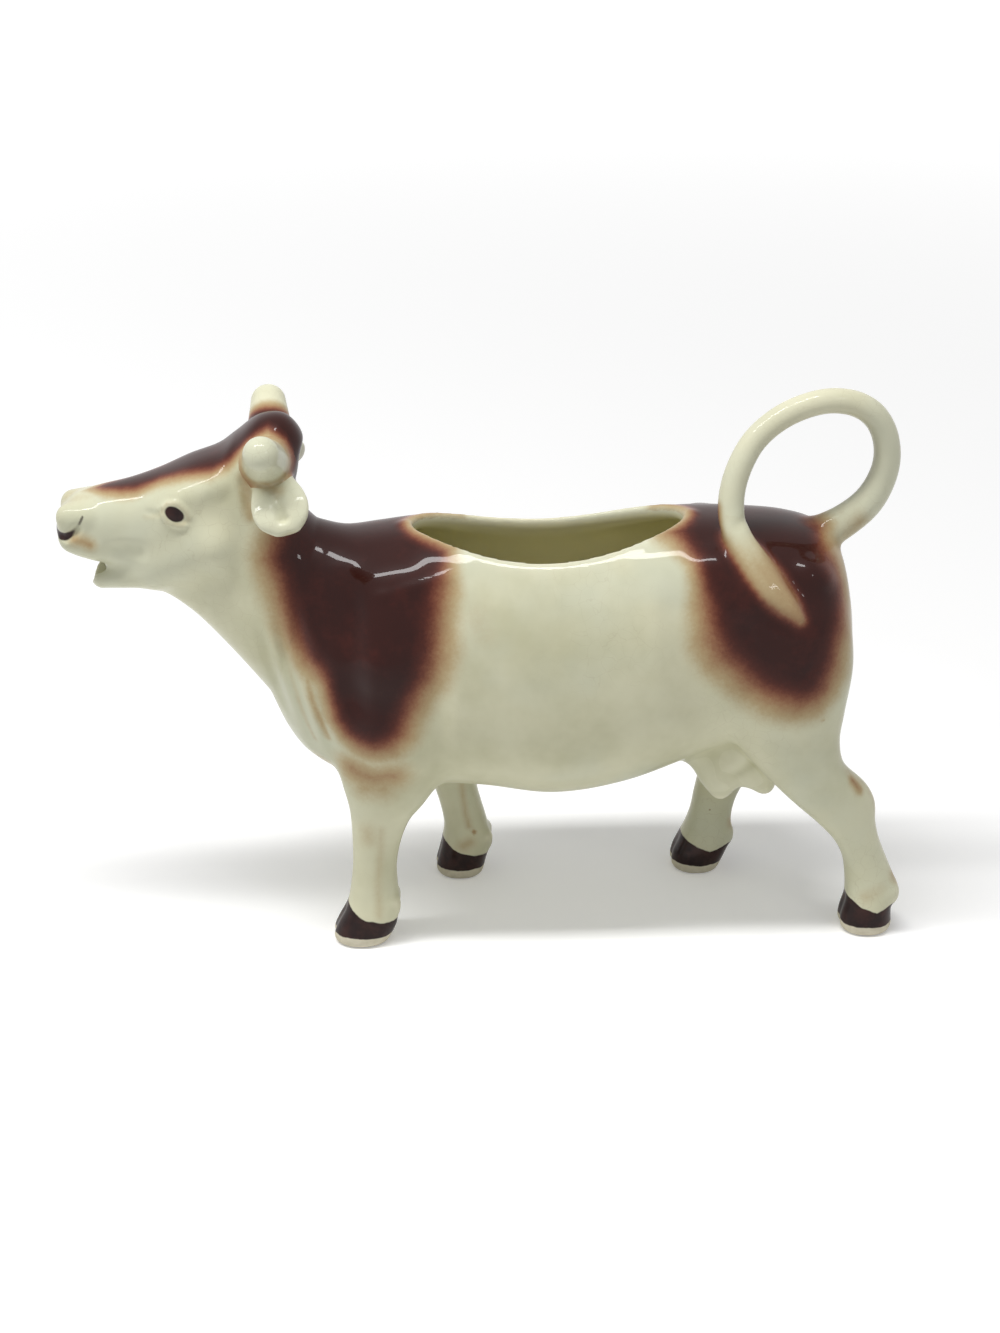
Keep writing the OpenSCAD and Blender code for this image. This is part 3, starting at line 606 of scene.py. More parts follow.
for name, side in (("left", left), ("right", right)):
    root, tip = hornEnds(side)
    tool = seamTool(np.minimum(root, tip) - 10, np.maximum(root, tip) + 10, 0.5, lambda grid, clay: addEgg(
        grid, clay, root, horn["rootRadius"] + seams["horn"], tip + (tip - root) * 0.1,
        horn["tipRadius"] + seams["horn"], 0), [headLoft])
    meshes["horn_" + name], headRest = taken(headRest, tool)
    path = earRings(side)[0]
    tool = seamTool(path.min(0) - 12, path.max(0) + 12, 0.5, lambda grid, clay: addLoft(
        grid, clay, earRings(side, seams["earLonger"], seams["ear"])[1], 0), [headLoft])
    meshes["ear_" + name], headRest = taken(headRest, tool)
meshes["head"] = headRest

tool = seamTool((45, -32, 75), (99, 10, 134), 0.6, lambda grid, clay: addLoft(
    grid, clay, tailRings(160, 36, seams["tail"]), 0), [trunkLoft])
meshes["tail_handle"], bodyRest = taken(bodyRest, tool)
for name in legs:
    meshes[name], bodyRest = taken(bodyRest, newMesh("legTool", *boxMesh(*seams[name])))
tool = seamTool((36, -16, 26), (74, 16, 58), 0.6, lambda grid, clay: addUdder(
    grid, clay, seams["udder"], 0), [trunkLoft])
meshes["udder"], bodyRest = taken(bodyRest, tool)
meshes["torso"] = bodyRest
print("pieces:", {name: len(mesh.polygons) for name, mesh in meshes.items()})

# Airbrushed patches as they are seen from the side, x and z; the shoulder's one runs on over the back and the nape
patches = {
    "shoulder": [(-44.2, 130), (-44.2, 106), (-45.6, 103), (-47.9, 98.5), (-48.8, 95.2), (-47.2, 90.7),
                 (-46, 86.3), (-44.8, 81.9), (-43, 77.4), (-41, 73.4), (-39, 71.2), (-37, 68.8),
                 (-36, 64.6), (-34.9, 59.9), (-32.6, 56.6), (-29.8, 54.8), (-26.4, 53.9), (-23, 55),
                 (-20.2, 57.6), (-18.8, 61.5), (-17, 65.8), (-14.2, 70.4), (-12.8, 74.7), (-11.8, 79),
                 (-11.8, 83.5), (-11.2, 87.6), (-10.2, 91.4), (-9.4, 94.8), (-9.4, 97), (-11.8, 99.5), (-12.8, 130)],
    "haunch": [(38, 130), (38.4, 99.8), (41.1, 98.6), (43.4, 96.8), (45.6, 94.6), (46.3, 91.3), (47, 87.1),
               (47.8, 83), (48.5, 78.6), (51, 74.4), (54.6, 71.2), (57.8, 68), (62, 65.1), (65.4, 64.2),
               (68.8, 63.3), (72.3, 64), (74.6, 66), (76.3, 70.3), (77.2, 74.8), (78.5, 78.8), (79, 83),
               (78.9, 86.8), (77.4, 91.2), (75, 95), (74.6, 130)],
    # how wide the edge is sprayed, at places on it: x, z, share of the full width
    "spray": [(-49, 93, 0.8), (-45, 80, 0.85), (-41, 72, 0.7), (-36, 66, 0.45), (-35, 59, 0.45), (-27, 54, 0.75),
              (-18, 64, 0.8), (-12, 76, 0.95), (-11, 88, 0.8), (-9, 96, 0.5), (40, 98, 0.5), (46, 92, 0.5),
              (48, 84, 0.8), (50, 76, 1.1), (58, 68, 1), (66, 64, 1), (74, 66, 0.9), (78, 76, 0.8), (79, 86, 0.55),
              (76, 94, 0.6)],
    "rightSide": (1.8, -1.6),  # how far the patches lie from their places on the left side
    "overTail": (0.2, 2.6, 2.3),  # stain against the tail, and how fast it grows beside it and fades up it
    "tailTop": 104,  # no stain on the tail above this height
    "lip": (-5.5, 2.6),  # stain on the lip of the filling hole, and how fast it grows away from it
    "hornRoot": (6, 3),  # stain on the head at a horn's root, and how fast it fades
    "hornEnd": {left: (0.3, 24), right: (0.62, 40)},  # where a horn's stain ends, as a share of it, and how fast
    "stripeEdge": 1.6,
}
# The face's stripe: x, half width, height of its edge
stripe = [(-96, -8, 109), (-91, -3, 108.4), (-85.2, 1.5, 107.6), (-81, 3.6, 108.4), (-77.8, 4.8, 109.3),
          (-72.7, 4.7, 111.4), (-67.1, 6.5, 113.4), (-60.6, 8.5, 114.5), (-56.8, 8.4, 116.6), (-54.6, 7.6, 118.6),
          (-53.3, 7, 120), (-48.3, 4.6, 122.4), (-44.2, 5.6, 119.4), (-42.7, 6.4, 116.2), (-42.4, 7.5, 112.9),
          (-40, 9, 108)]
# Lighter touches of the brush, and two of painted shade: points along each, radius, strength in mm, sides
touches = [
    ([(-31.5, 21, 47.2), (-27, 22.6, 45.6), (-22.6, 23.4, 46.8)], 7.6, -1.6, (left,)),
    ([(-29, 21.4, 43), (-24.6, 22.4, 42.6)], 6, -3.6, (left,)),
    ([(-28.8, 20.4, 30.4), (-28.4, 20.2, 28.6)], 4.4, -5.4, (left,)),
    ([(-25.4, 20.6, 31), (-25.9, 20, 22.9), (-26.5, 20.1, 16.3), (-26.4, 20.9, 8.5)], 2, -6, (left,)),
    ([(-20, 17, 49), (-12, 17, 47)], 7, -3.6, (right,)),
    ([(-6.6, 10.8, 30), (-5.3, 10.6, 18.4), (-4.4, 10.5, 14.5)], 1.7, -4.8, (right,)),
    ([(-3.1, 10.5, 12.8)], 1.1, 0, (right,)),
    ([(-5.8, 9.7, 9.4), (-4.2, 10, 10.2)], 3, -4.4, (right,)),
    ([(83.2, 18.4, 40.4), (84.6, 18.8, 38.2)], 2.6, -1.1, (left,)),
    ([(83, 17, 42), (88, 16.4, 38), (89.6, 15.5, 32)], 3.4, -5, (left,)),
    ([(94.6, 16.5, 14), (95.4, 15.5, 10.5)], 3.6, -2.8, (left,)),
    ([(88, 20, 10.4), (91, 19, 12)], 3, -5, (left,)),
    ([(60.8, 13, 13)], 3.4, -3.4, (right,)),
    ([(-42.4, 14.7, 84), (-39.8, 18.3, 76), (-38, 20.3, 69.3), (-37, 20.8, 63)], 2.4, -2.6, both),
    ([(-41.6, 18, 72), (-40.2, 19.2, 63.9), (-37, 19.5, 54.5)], 1.8, -3.4, both),
    ([(-45, 15, 72), (-43, 16.6, 62), (-40, 17, 53)], 1.5, -5.6, both),
    ([(-39, 12, 46), (-36, 15, 44)], 3.6, -4.6, both),
    ([(-91.8, 7.8, 98.8), (-89.6, 8.2, 98.4), (-88.4, 8.3, 97.7)], 3, -2.8, both),
    # a faint tan ring round the eye: painted shade of the lids
    ([(-71.8, 11.2, 106.4), (-70.6, 11.2, 108.2), (-68.2, 11.5, 108.2), (-66.4, 11.8, 106.6), (-66, 12, 104.6),
      (-67.6, 12, 103.6), (-70.4, 11.6, 104.2), (-71.8, 11.2, 106.4)], 1, -6.4, both),
    ([(-75.6, 9.8, 104.6), (-72.6, 10.8, 105.4)], 1.4, -6.2, both),
    ([(58, 17.5, 93), (62, 20.5, 88.6), (66.6, 22.6, 84.2)], 4, -3.4, (left,)),
    ([(50.8, 9.6, 104.5), (51.2, 11, 101), (52.6, 13, 98)], 2.8, 0.5, (left,)),
    ([(80, 2, 94.6), (84, 3, 98.4)], 4, -4.4, both),
    ([(-95.6, 0, 91.4), (-91, 5.4, 91.8), (-86.4, 7.6, 91.7)], 1.8, -5.6, both),
    ([(-96, 2, 104.6), (-91, 3, 107.4), (-86, 3, 108.4)], 5, -6.4, both),
    ([(-53.6, 11.2, 114), (-53.2, 11.6, 110), (-52.6, 12, 105)], 2.6, -2.4, both),
    ([(-44, 17, 104), (-43.6, 20, 102.6)], 3.4, -4.6, both),
    # tan below the horn's root, above the ear: painted shade between horn and ear
    ([(-49, 14, 114), (-46, 15, 112)], 3, -4.2, both),
    ([(57.6, 24.1, 66.6)], 0.8, 3, (left,)),
    ([(56.9, 24.1, 65)], 0.55, 2, (left,)),
    ([(62.7, 24.8, 64.4)], 0.8, 0.6, (left,)),
    ([(74.7, 22.5, 58.1)], 0.7, 0, (left,)),
    ([(-3, 19, 84), (-2, 21, 80)], 5, -6.4, (left,)),
    ([(-15.6, 4, 98.4), (-13.8, 9, 97.2)], 3, -3, both),
]
eye = {"place": (-69, 106), "half": (2.25, 1.6), "along": (0.86, -0.5)}
nostril = {  # the stroke's points, and its radius at three places in x
    "line": [(-96.8, 2.6, 100.6), (-95.8, 5, 99.2), (-93.8, 6.9, 99.2), (-91.9, 7.6, 100.5), (-90.4, 8.2, 102.5),
             (-89.6, 8.1, 104.3)],
    "radius": ((-97, -93.4, -89.8), (0.95, 0.85, 0.3))}
# The coronet's height at places from a hoof's front, 0, to its back, 1, and the height of the bare rim
hooves = {"fore": ((0, 0.35, 0.7, 1), (10.2, 7.6, 6.6, 6.2)), "hind": ((0, 0.3, 0.62, 1), (9.6, 7.8, 6.4, 8)),
          "rim": 2.7}


# How deep points lie inside an outline: distance to its nearest side, less than nought outside
def depthIn(x, z, outline):
    inside, closed = np.zeros(x.shape, bool), outline + outline[:1]
    for (ax, az), (bx, bz) in zip(closed, closed[1:]):
        if az != bz:
            inside ^= ((az > z) != (bz > z)) & (x < ax + (z - az) / (bz - az) * (bx - ax))
    nearest = nearLine(np.stack([x, z], 1), closed)[0]
    return np.where(inside, nearest, -nearest)


clean = -12.0  # a depth of stain at which nothing shows


# The stain on a piece, with some painted shade: how deep each point lies in the brown patches, with the lighter
# touches over them, two of which are painted shade round the eye and between horn and ear
def stainAndShadeOf(name, points):
    x, y, z = points.T
    onRight = np.clip(y / 8 + 0.5, 0, 1)
    px, pz = x - onRight * patches["rightSide"][0], z - onRight * patches["rightSide"][1]
    stainAndShade = np.full(len(points), clean)
    if name in ("torso", "head", "tail_handle"):
        marks = np.array(patches["spray"])
        near = 1 / (np.hypot(px[:, None] - marks[:, 0], pz[:, None] - marks[:, 1]) ** 3 + 1)
        spray = near @ marks[:, 2] / near.sum(1)
        stainAndShade = np.maximum(depthIn(px, pz, patches["shoulder"]), depthIn(px, pz, patches["haunch"])) / spray
    if name in ("torso", "tail_handle"):
        against, besideIt, upIt = patches["overTail"]
        tailPoints = smoothRows(tail["rows"], 60)
        tailPoints = tailPoints[tailPoints[:, 2] < patches["tailTop"] + 2]
        beside = np.full(len(points), 1e9)
        near = (x > 45) & (z > 72)
        for row in tailPoints:
            beside[near] = np.minimum(beside[near], np.linalg.norm(points[near] - row[:3], axis=1) - row[4])
        lift = readClay(tailGrid, tailGround, points)
        upIt = upIt * np.clip(1 - beside / 1.2, 0, 1)
        stainAndShade = np.minimum(stainAndShade, against + besideIt * np.maximum(beside, 0) - upIt * np.maximum(lift - 0.9, 0))
    if name == "torso":  # a pale lip round the filling hole
        a, b = trunk["hole"]["length"] / 2, trunk["hole"]["width"] / 2
        away = x - trunk["hole"]["x"]
        out = np.hypot(away / a, y / b)
        gap = (out - 1) * out / np.maximum(np.hypot(away / a ** 2, y / b ** 2), 1e-3)
        atLip, away = patches["lip"]
        stainAndShade = np.where(z > 88, np.minimum(stainAndShade, atLip + away * gap), stainAndShade)
    if name == "tail_handle":
        stainAndShade[z > patches["tailTop"]] = clean
    if name == "head":
        at = np.array(stripe)
        over = np.interp(x, at[:, 0], at[:, 1]) - np.abs(y) + z - np.interp(x, at[:, 0], at[:, 2])
        gap = nearLine(points, [horn["root"], horn["tip"]])[0] - horn["rootRadius"]
        atRoot, away = patches["hornRoot"]
        stainAndShade = np.max([stainAndShade, patches["stripeEdge"] * over, atRoot - away * gap], axis=0)
    if name.startswith("horn"):
        side = right if name == "horn_right" else left
        (root, tip), (end, fade) = hornEnds(side), patches["hornEnd"][side]
        stainAndShade = (end - (points - root) @ (tip - root) / ((tip - root) @ (tip - root))) * fade
    for line, radius, peak, sides in touches:
        for side in sides:
            gap = nearLine(points, np.multiply(line, (1, side, 1)))[0]
            stainAndShade = np.maximum(stainAndShade, peak - (peak + 9) * gap / radius)
    return stainAndShade


# Crisp paint, in mm inside its edge: hooves below their coronets, eyes and nostrils
def darkOf(name, points):
    x, y, z = points.T
    dark = np.full(len(points), -4.0)
    if name in legs:
        rows = np.array(legs[name]["rows"], float)
        shares, heights = hooves["fore" if name.startswith("fore") else "hind"]
        front, back = np.interp(z, rows[:, 0], rows[:, 1]), np.interp(z, rows[:, 0], rows[:, 2])
        dark = np.interp((x - front) / (back - front), shares, heights) - z
    if name == "head":
        (ex, ez), (long, short), (ax, az) = eye["place"], eye["half"], eye["along"]
        a, b = (x - ex) * ax + (z - ez) * az, (z - ez) * ax - (x - ex) * az
        dark = np.where(np.abs(y) > 7, (1 - np.hypot(a / long, b / short)) * short, -4.0)
        for side in both:
            gap = nearLine(points, smoothRows(nostril["line"], 30) * [1, side, 1])[0]
            dark = np.maximum(dark, np.interp(x, *nostril["radius"]) - gap)
    return np.clip(dark, -4, 4)


# A whole row of values read out of a mesh at once
def readRow(data, key, count, kind=float):
    row = np.empty(count, kind)
    data.foreach_get(key, row)
    return row


# How deep in the wall the inside's glaze starts, over what depth it takes over, and how far, as a cosine, the clay's
# slope may be from a face that it lights
firing = {"insideFrom": 1.3, "insideOver": 1.2, "agree": 0.72}


# A piece of the cow: its mesh in metres, its paint as values on its points, and normals taken from the clay's slope,
# so that two pieces that meet shine as one; a face that was cut flat keeps its own normal
def firePiece(name, mesh, slot, grid, clay, outer, blurred):
    points = readRow(mesh.vertices, "co", len(mesh.vertices) * 3).reshape(-1, 3)
    inside = (-readClay(grid, outer, points) - firing["insideFrom"]) / firing["insideOver"]
    values = {
        "stainAndShade": stainAndShadeOf(name, points), "dark": darkOf(name, points),
        "rim": (hooves["rim"] - points[:, 2]) if name in legs else np.full(len(points), -4.0),
        # how far a point lies in a hollow of the blurred clay: glaze pools there, and the same value paints shade
        # there
        "poolAndShade": -readClay(grid, blurred, points), "inside": np.clip(inside, 0, 1)}
    for key, value in values.items():
        row = np.clip(value, -12, 12).astype(np.float32)
        mesh.attributes.new(key, "FLOAT", "POINT").data.foreach_set("value", row)
    slope = slopeOf(grid, clay, points)
    slope /= np.maximum(np.linalg.norm(slope, axis=1, keepdims=True), 1e-6)
    smooth = slope[readRow(mesh.loops, "vertex_index", len(mesh.loops), np.int32)]
    size = readRow(mesh.polygons, "loop_total", len(mesh.polygons), np.int32)
    flat = np.repeat(readRow(mesh.polygons, "normal", len(mesh.polygons) * 3).reshape(-1, 3), size, axis=0)
    agree = (smooth * flat).sum(1, keepdims=True) > firing["agree"]
    mesh.vertices.foreach_set("co", (points * mm).ravel())
    mesh.shade_smooth()
    mesh.normals_split_custom_set(np.where(agree, smooth, flat).tolist())
    piece = newObject(name + "_casting", mesh)
    mesh.materials.clear()
    mesh.materials.append(glazes[slot])
    mesh.polygons.foreach_set("material_index", np.zeros(len(mesh.polygons), np.int32))
    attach(piece, "root")
    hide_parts(name)


# A colour written as on a screen, 0 to 255, turned into the light that it stands for
def screen(red, green, blue):
    c = np.array([red, green, blue]) / 255
    return tuple(np.where(c <= 0.04045, c / 12.92, ((c + 0.055) / 1.055) ** 2.4)) + (1.0,)


white = (1.0, 1.0, 1.0, 1.0)


# Short cuts for nodes: a node with its settings and its inputs, each a value or another node's socket
def addNode(tree, kind, inputs=(), **settings):
    node = tree.nodes.new("ShaderNode" + kind)
    for key, value in settings.items():
        setattr(node, key, value)
    for key, value in dict(inputs).items():
        if isinstance(value, bpy.types.NodeSocket):
            tree.links.new(value, node.inputs[key])
        else:
            node.inputs[key].default_value = value
    return node


def mathNode(tree, operation, a, b, clamp=False):
    return addNode(tree, "Math", {0: a, 1: b}, operation=operation, use_clamp=clamp).outputs[0]


def times(tree, a, b):
    return mathNode(tree, "MULTIPLY", a, b)


def mixColour(tree, share, a, b):
    return addNode(tree, "Mix", {0: share, 6: a, 7: b}, data_type="RGBA").outputs[2]


# From one value to another, both inside a value's range, as a share from nought to one
def between(tree, value, low, high):
    return addNode(tree, "MapRange", {0: value, 1: low, 2: high}, interpolation_type="SMOOTHSTEP").outputs[0]


def objectPlace(tree):
    return addNode(tree, "TexCoord").outputs["Object"]


def noise(tree, scale, detail=2.0, roughness=0.5):
    return addNode(tree, "TexNoise", {"Vector": objectPlace(tree), "Scale": scale, "Detail": detail,
                                      "Roughness": roughness}).outputs[0]


# Noise about nought, so much from end to end
def wander(tree, amount, *texture):
    return times(tree, mathNode(tree, "SUBTRACT", noise(tree, *texture), 0.5), amount)


def readPaint(tree, key):
    return addNode(tree, "Attribute", attribute_name=key).outputs["Fac"]


def emptyTree(owner):
    owner.use_nodes = True
    owner.node_tree.nodes.clear()
    return owner.node_tree


# A node group with its inputs, colours or numbers, and the names of what it puts out
def newGroup(name, inputs, outputs):
    tree = bpy.data.node_groups.new(name, "ShaderNodeTree")
    for key, value in inputs.items():
        kind = "NodeSocketColor" if value is white else "NodeSocketFloat"
        tree.interface.new_socket(key, in_out="INPUT", socket_type=kind).default_value = value
    for key in outputs:
        kind = "NodeSocketColor" if key == "Color" else "NodeSocketFloat"
        tree.interface.new_socket(key, in_out="OUTPUT", socket_type=kind)
    return tree, tree.nodes.new("NodeGroupInput").outputs, tree.nodes.new("NodeGroupOutput").inputs


# The airbrush: where its row of colours starts and how long it is, in mm of depth, and how uneven it is
airbrush = {
    "start": 9.0, "length": 16.0, "broad": (3.0, 130.0, 4.0, 0.65), "fine": (1.9, 1100.0, 3.0, 0.7),
    "row": [(-6.0, (188, 174, 138)), (-3.0, (174, 151, 112)), (-1.0, (154, 117, 84)), (0.5, (132, 84, 60)),
            (2.0, (100, 50, 36)), (3.5, (70, 28, 20)), (5.5, (52, 18, 12)), (7.0, (46, 14, 9))],
    "thin": {"noise": (95.0, 4.0, 0.65), "range": (0.5, 0.75), "depth": (3.0, 6.0), "share": 0.3,
             "colour": (84, 32, 24)},
    "cover": (-9.0, -3.2),
}


# Brown stain blown on with an airbrush, and the few touches of painted shade: its depth in mm, made uneven, looked up
# in a row of colours
def airbrushGroup():
    inputs = {"Depth": 0.0, "Ground": white, "Unevenness": 1.0}
    tree, given, out = newGroup("airbrushed stain and painted shade", inputs, ["Color", "Cover"])
    wobble = mathNode(tree, "ADD", wander(tree, *airbrush["broad"]), wander(tree, *airbrush["fine"]))
    depth = mathNode(tree, "ADD", given["Depth"], times(tree, wobble, given["Unevenness"]))
    start, length, thinning = airbrush["start"], airbrush["length"], airbrush["thin"]
    share = mathNode(tree, "DIVIDE", mathNode(tree, "ADD", depth, start), length, clamp=True)
    ramp = addNode(tree, "ValToRGB", {0: share})
    ramp.color_ramp.interpolation = "B_SPLINE"
    while len(ramp.color_ramp.elements) < len(airbrush["row"]):
        ramp.color_ramp.elements.new(0.5)
    for element, (at, colour) in zip(ramp.color_ramp.elements, airbrush["row"]):
        element.position, element.color = (at + start) / length, screen(*colour)
    thin = times(tree, between(tree, noise(tree, *thinning["noise"]), *thinning["range"]),
                 between(tree, depth, *thinning["depth"]))
    brown = mixColour(tree, times(tree, thin, thinning["share"]), ramp.outputs[0], screen(*thinning["colour"]))
    cover = between(tree, depth, *airbrush["cover"])
    tree.links.new(mixColour(tree, cover, given["Ground"], brown), out["Color"])
    tree.links.new(cover, out["Cover"])
    return tree


# What shows in the cream glaze, each with its noise or cells, the range that counts, its share and its colour
cream = {
    "clouds": {"noise": (42.0, 4.0, 0.6), "range": (0.32, 0.72), "share": 0.48},
    # pool: glaze pooling deeper and greener in hollows and creases, and painted shade there as well
    "poolAndShade": {"range": (-0.02, 0.55), "share": 0.85},
    "ridge": {"range": (-0.16, -0.75), "share": 0.5, "colour": (236, 230, 204)},
    "cool": {"noise": (24.0, 3.0, 0.6), "range": (0.42, 0.66), "share": 0.45, "colour": (200, 205, 187)},
    "crazing": {"cells": 330.0, "bend": (0.0022, 300.0), "range": (0.022, 0.0), "noise": (30.0, 2.0),
                "where": (0.42, 0.62), "share": 0.16, "colour": (150, 132, 96)},
    "specks": {"cells": 95.0, "range": (0.034, 0.018), "noise": (60.0, 0.0), "above": 0.61, "share": 0.55,
               "colour": (120, 92, 62)},
}


# Cream glaze: mottled, deeper and greener where it pools in hollows and creases, which is also painted shade there,
# thin on ridges, with a faint net of crazing and a few specks
def creamGroup():
    inputs = {"Cream": white, "PooledAndShaded": white, "PoolAndShade": 0.0, "Mottling": 1.0}
    tree, given, out = newGroup("cream glaze", inputs, ["Color"])

    def shareOf(value, look, key="range"):
        return between(tree, value, *look[key])

    def tinted(mask, look):
        return mixColour(tree, times(tree, mask, look["share"]), colour, screen(*look["colour"]))

    clouds, poolAndShade, cool, crazing, specks = (cream[key] for key in ("clouds", "poolAndShade", "cool", "crazing", "specks"))
    cloudy = shareOf(noise(tree, *clouds["noise"]), clouds)
    cloudy = times(tree, cloudy, times(tree, given["Mottling"], clouds["share"]))
    pooledAndShaded = times(tree, shareOf(given["PoolAndShade"], poolAndShade), poolAndShade["share"])
    deep = mathNode(tree, "ADD", cloudy, pooledAndShaded, clamp=True)
    colour = mixColour(tree, deep, given["Cream"], given["PooledAndShaded"])
    colour = tinted(shareOf(given["PoolAndShade"], cream["ridge"]), cream["ridge"])
    colour = tinted(times(tree, shareOf(noise(tree, *cool["noise"]), cool), given["Mottling"]), cool)
    place = objectPlace(tree)
    bend, waves = crazing["bend"]
    bent = addNode(tree, "TexNoise", {"Vector": place, "Scale": waves, "Detail": 2.0}).outputs[1]
    bent = addNode(tree, "Mix", {0: bend, 4: place, 5: bent}, data_type="VECTOR").outputs[1]
    cracks = addNode(tree, "TexVoronoi", {"Vector": bent, "Scale": crazing["cells"]}, feature="DISTANCE_TO_EDGE")
    here = shareOf(noise(tree, *crazing["noise"]), crazing, "where")
    colour = tinted(times(tree, shareOf(cracks.outputs[0], crazing), here), crazing)
    spots = addNode(tree, "TexVoronoi", {"Vector": place, "Scale": specks["cells"]}, feature="F1")
    here = mathNode(tree, "GREATER_THAN", noise(tree, *specks["noise"]), specks["above"])
    colour = tinted(times(tree, shareOf(spots.outputs["Distance"], specks), here), specks)
    tree.links.new(colour, out["Color"])
    return tree


# The fired surface: slow waves and an orange-peel ripple, as a height for the bump
def rippleGroup():
    tree, given, out = newGroup("glaze ripple", {"Wave": 1.0, "Peel": 1.0}, ["Height"])
    wave = times(tree, noise(tree, 85.0, 1.5, 0.4), given["Wave"])
    peel = times(tree, noise(tree, 520.0, 2.0, 0.5), given["Peel"])
    tree.links.new(mathNode(tree, "ADD", wave, peel), out["Height"])
    return tree


# One glaze: cream ground, stain, hoof paint, bare foot rim and the inside in a lighter colour of its own, which is
# painted light for the shaded hollow, under a clear coat
def makeGlaze(name, look):
    material = bpy.data.materials.new(name)
    tree = emptyTree(material)
    pooledAndShaded, inside = screen(*look["pooledAndShaded"]), readPaint(tree, "inside")
    creamy = addNode(tree, "Group", {"Cream": screen(*look["cream"]), "PooledAndShaded": pooledAndShaded, "Mottling": look["mottling"],
                                     "PoolAndShade": readPaint(tree, "poolAndShade")}, node_tree=groups["cream"])
    # the inside: the cream glaze painted lighter to stand in for light in the shaded hollow, with a little of the
    # pooled shade colour mixed in at random
    litInside = mixColour(tree, times(tree, noise(tree, 60.0, 3.0), 0.2), screen(*look["inside"]), pooledAndShaded)
    ground = mixColour(tree, inside, creamy.outputs[0], litInside)
    depth = mathNode(tree, "SUBTRACT", readPaint(tree, "stainAndShade"), times(tree, inside, 20.0))
    stainedAndShaded = addNode(tree, "Group", {"Unevenness": look["unevenness"], "Depth": depth, "Ground": ground},
                      node_tree=groups["airbrush"])
    edge = mathNode(tree, "ADD", readPaint(tree, "dark"), wander(tree, look["brushWobble"], 420.0, 2.0))
    streaks = mixColour(tree, between(tree, noise(tree, 240.0, 3.0, 0.6), 0.35, 0.7), screen(*look["paint"]),
                        screen(*look["paintThin"]))
    colour = mixColour(tree, between(tree, edge, -0.16, 0.2), stainedAndShaded.outputs[0], streaks)
    worn = mathNode(tree, "ADD", readPaint(tree, "rim"), wander(tree, look["rimWobble"], 260.0, 2.0))
    bare = between(tree, worn, -0.12, 0.18)
    clay = mixColour(tree, noise(tree, 700.0, 3.0), screen(*look["clay"]), screen(*look["clayDark"]))
    colour = mixColour(tree, bare, colour, clay)
    ripple = addNode(tree, "Group", {"Wave": look["wave"], "Peel": look["peel"]}, node_tree=groups["ripple"])
    bump = addNode(tree, "Bump", {"Strength": 1.0, "Distance": 0.001, "Height": ripple.outputs[0]})
    shader = addNode(tree, "BsdfPrincipled", {
        "Base Color": colour, "Normal": bump.outputs[0], "IOR": 1.5, "Specular IOR Level": 0.06,
        "Coat Roughness": 0.035, "Coat IOR": 1.45,
        "Roughness": mathNode(tree, "ADD", times(tree, bare, 0.4), 0.38),
        "Coat Weight": times(tree, mathNode(tree, "SUBTRACT", 1.0, bare), look["coat"])})
    addNode(tree, "OutputMaterial", {0: shader.outputs[0]})
    return material


groups = {"airbrush": airbrushGroup(), "cream": creamGroup(), "ripple": rippleGroup()}
# inside: the cream painted lighter, as painted light inside the shaded hollow
# pooled: the colour of glaze pooling and of painted shade in hollows and creases
patchedGlaze = {"cream": (212, 210, 181), "pooledAndShaded": (170, 168, 130), "inside": (232, 226, 184), "mottling": 1.0,
                "unevenness": 1.0, "paint": (34, 19, 18), "paintThin": (54, 30, 26), "brushWobble": 0.25,
                "clay": (226, 220, 200), "clayDark": (196, 188, 164), "rimWobble": 1.1,
                "wave": 0.09, "peel": 0.012, "coat": 0.36}
creamGlaze = dict(patchedGlaze, cream=(216, 214, 186), mottling=0.8, unevenness=0.8, wave=0.05, peel=0.01)
legGlaze = dict(patchedGlaze, mottling=0.9, unevenness=0.7, brushWobble=0.7, wave=0.05, peel=0.014)
looks = {"patched_glaze": patchedGlaze, "cream_glaze": creamGlaze, "leg_glaze": legGlaze}
glazes = {name: makeGlaze(name, look) for name, look in looks.items()}
print("glazes:", len(glazes))

bodyBlurred, headBlurred = soften(bodyClay.copy(), 8), soften(headClay.copy(), 14)
blendAtNeck(bodyBlurred, headBlurred)
slots = {row["node"]: row["material_slot"] for row in frame["record"]["subparts"]}
for name, mesh in meshes.items():
    finer = name == "head" or name[:4] in ("horn", "ear_")
    firePiece(name, mesh, slots[name], *((headGrid, headClay, headOuter, headBlurred) if finer else
                                         (bodyGrid, bodyClay, bodyOuter, bodyBlurred)))
print("fired:", len(meshes), "pieces")

# The table and the light: a floor that is white where nothing shades it, a long soft lamp overhead and a small one
studio = {
    "floor": 6.0, "grey": 0.9, "sky": 0.37,
    "glow": {1: 0.2, 2: 1.1, 3: 0.20, 4: 0.74},  # from and to a distance, and the light there
    "lamps": [
        {"place": (-0.22, -0.10, 0.70), "size": (0.72, 0.08), "energy": 4.6, "aim": (-0.22, -0.09, 0.0)},
        {"place": (0.45, -0.55, 0.55), "size": (0.08, 0.05), "energy": 0.2, "aim": (0.0, 0.0, 0.07)}]}


# One for rays that reach the table or the sky from the lens, in gloss or through glass, and nought for the rest
def seenDirectly(tree):
    rays = addNode(tree, "LightPath").outputs
    shiny = mathNode(tree, "MAXIMUM", rays["Is Glossy Ray"], rays["Is Transmission Ray"])
    return mathNode(tree, "MAXIMUM", rays["Is Camera Ray"], shiny)


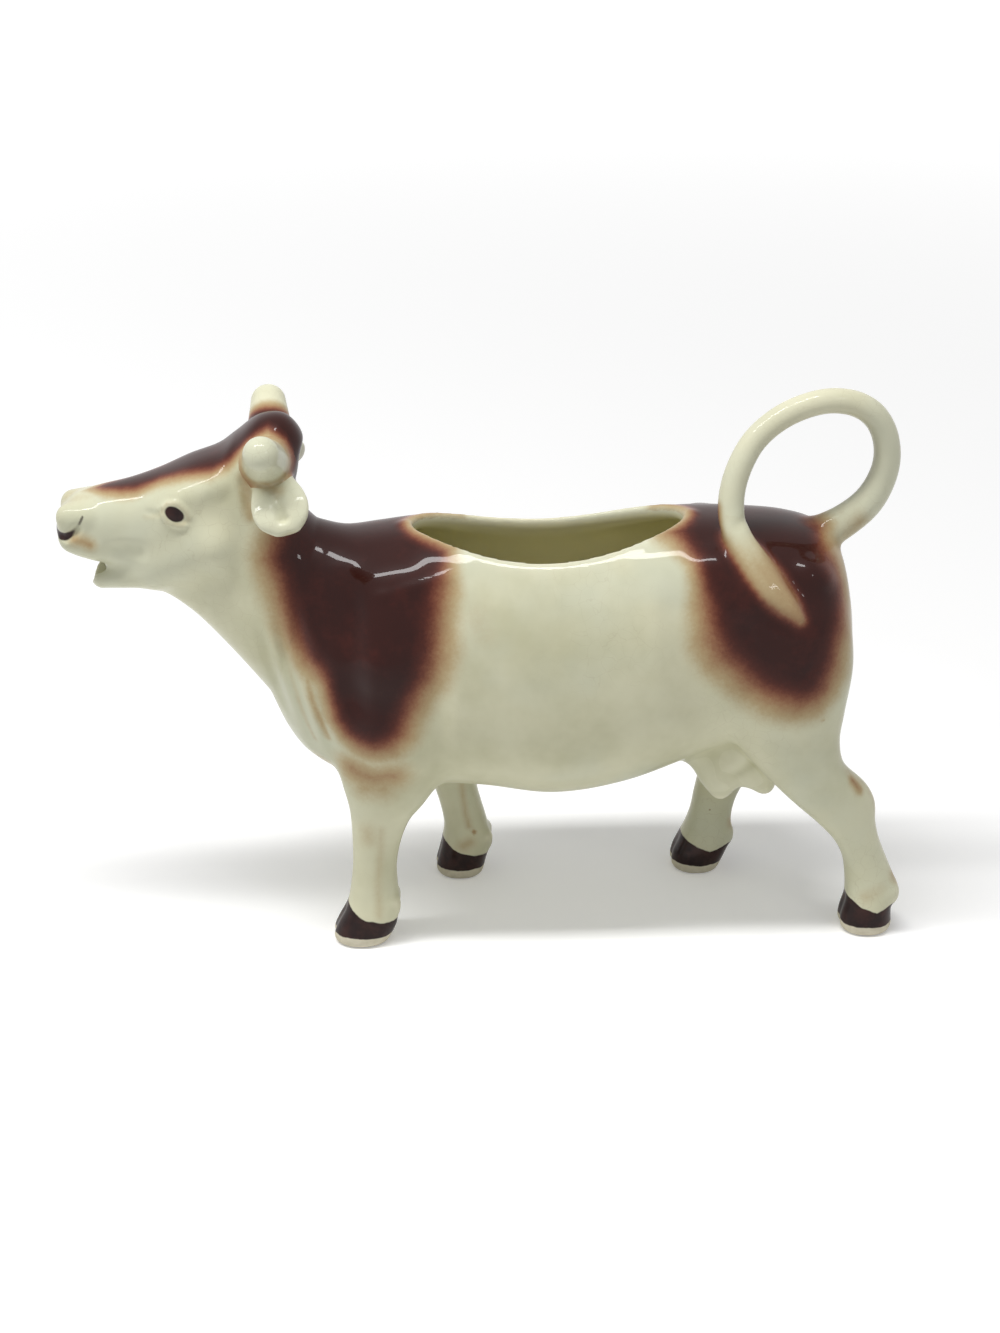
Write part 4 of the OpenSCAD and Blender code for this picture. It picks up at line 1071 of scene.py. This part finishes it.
def aimed(name, data, place, aim):
    obj = newObject(name, data)
    obj.location = place
    obj.rotation_euler = (Vector(aim) - Vector(place)).to_track_quat("-Z", "Y").to_euler()
    return obj


def makeStage():
    half = studio["floor"] / 2
    corners = [[-half, -half, 0], [half, -half, 0], [half, half, 0], [-half, half, 0]]
    floor = newObject("floor", newMesh("floor", corners, [[0, 1, 2, 3]]))
    material = bpy.data.materials.new("table")
    tree = emptyTree(material)
    matt = addNode(tree, "BsdfDiffuse", {"Color": (studio["grey"],) * 3 + (1,)})
    away = addNode(tree, "VectorMath", {0: objectPlace(tree)}, operation="LENGTH")
    glowing = addNode(tree, "MapRange", {0: away.outputs["Value"], **studio["glow"]}).outputs[0]
    glow = addNode(tree, "Emission", {"Color": white, "Strength": times(tree, seenDirectly(tree), glowing)})
    lit = addNode(tree, "AddShader", {0: matt.outputs[0], 1: glow.outputs[0]})
    addNode(tree, "OutputMaterial", {0: lit.outputs[0]})
    floor.data.materials.append(material)
    world = bpy.data.worlds.new("studio")
    bpy.context.scene.world = world
    tree = emptyTree(world)
    strength = addNode(tree, "MapRange", {0: seenDirectly(tree), 3: studio["sky"], 4: 1.0}).outputs[0]
    sky = addNode(tree, "Background", {"Color": white, "Strength": strength})
    addNode(tree, "OutputWorld", {0: sky.outputs[0]})
    for number, lamp in enumerate(studio["lamps"]):
        light = bpy.data.lights.new("softbox", "AREA")
        light.shape, light.energy = "RECTANGLE", lamp["energy"]
        light.size, light.size_y = lamp["size"]
        aimed("softbox" + str(number), light, lamp["place"], lamp["aim"])


# The photograph's view: 25 degrees above the cow's left side, turned a little towards the head
view = {"place": (-0.019, -0.4994, 0.2954), "aim": (0.0027, -0.00145, 0.063), "lens": 64.17, "sensor": 36.0}
makeStage()
camera = aimed("camera", bpy.data.cameras.new("camera"), view["place"], view["aim"])
camera.data.sensor_fit, camera.data.sensor_height, camera.data.lens = "VERTICAL", view["sensor"], view["lens"]
bpy.context.scene.camera = camera
bpy.context.scene.view_settings.view_transform = "Standard"
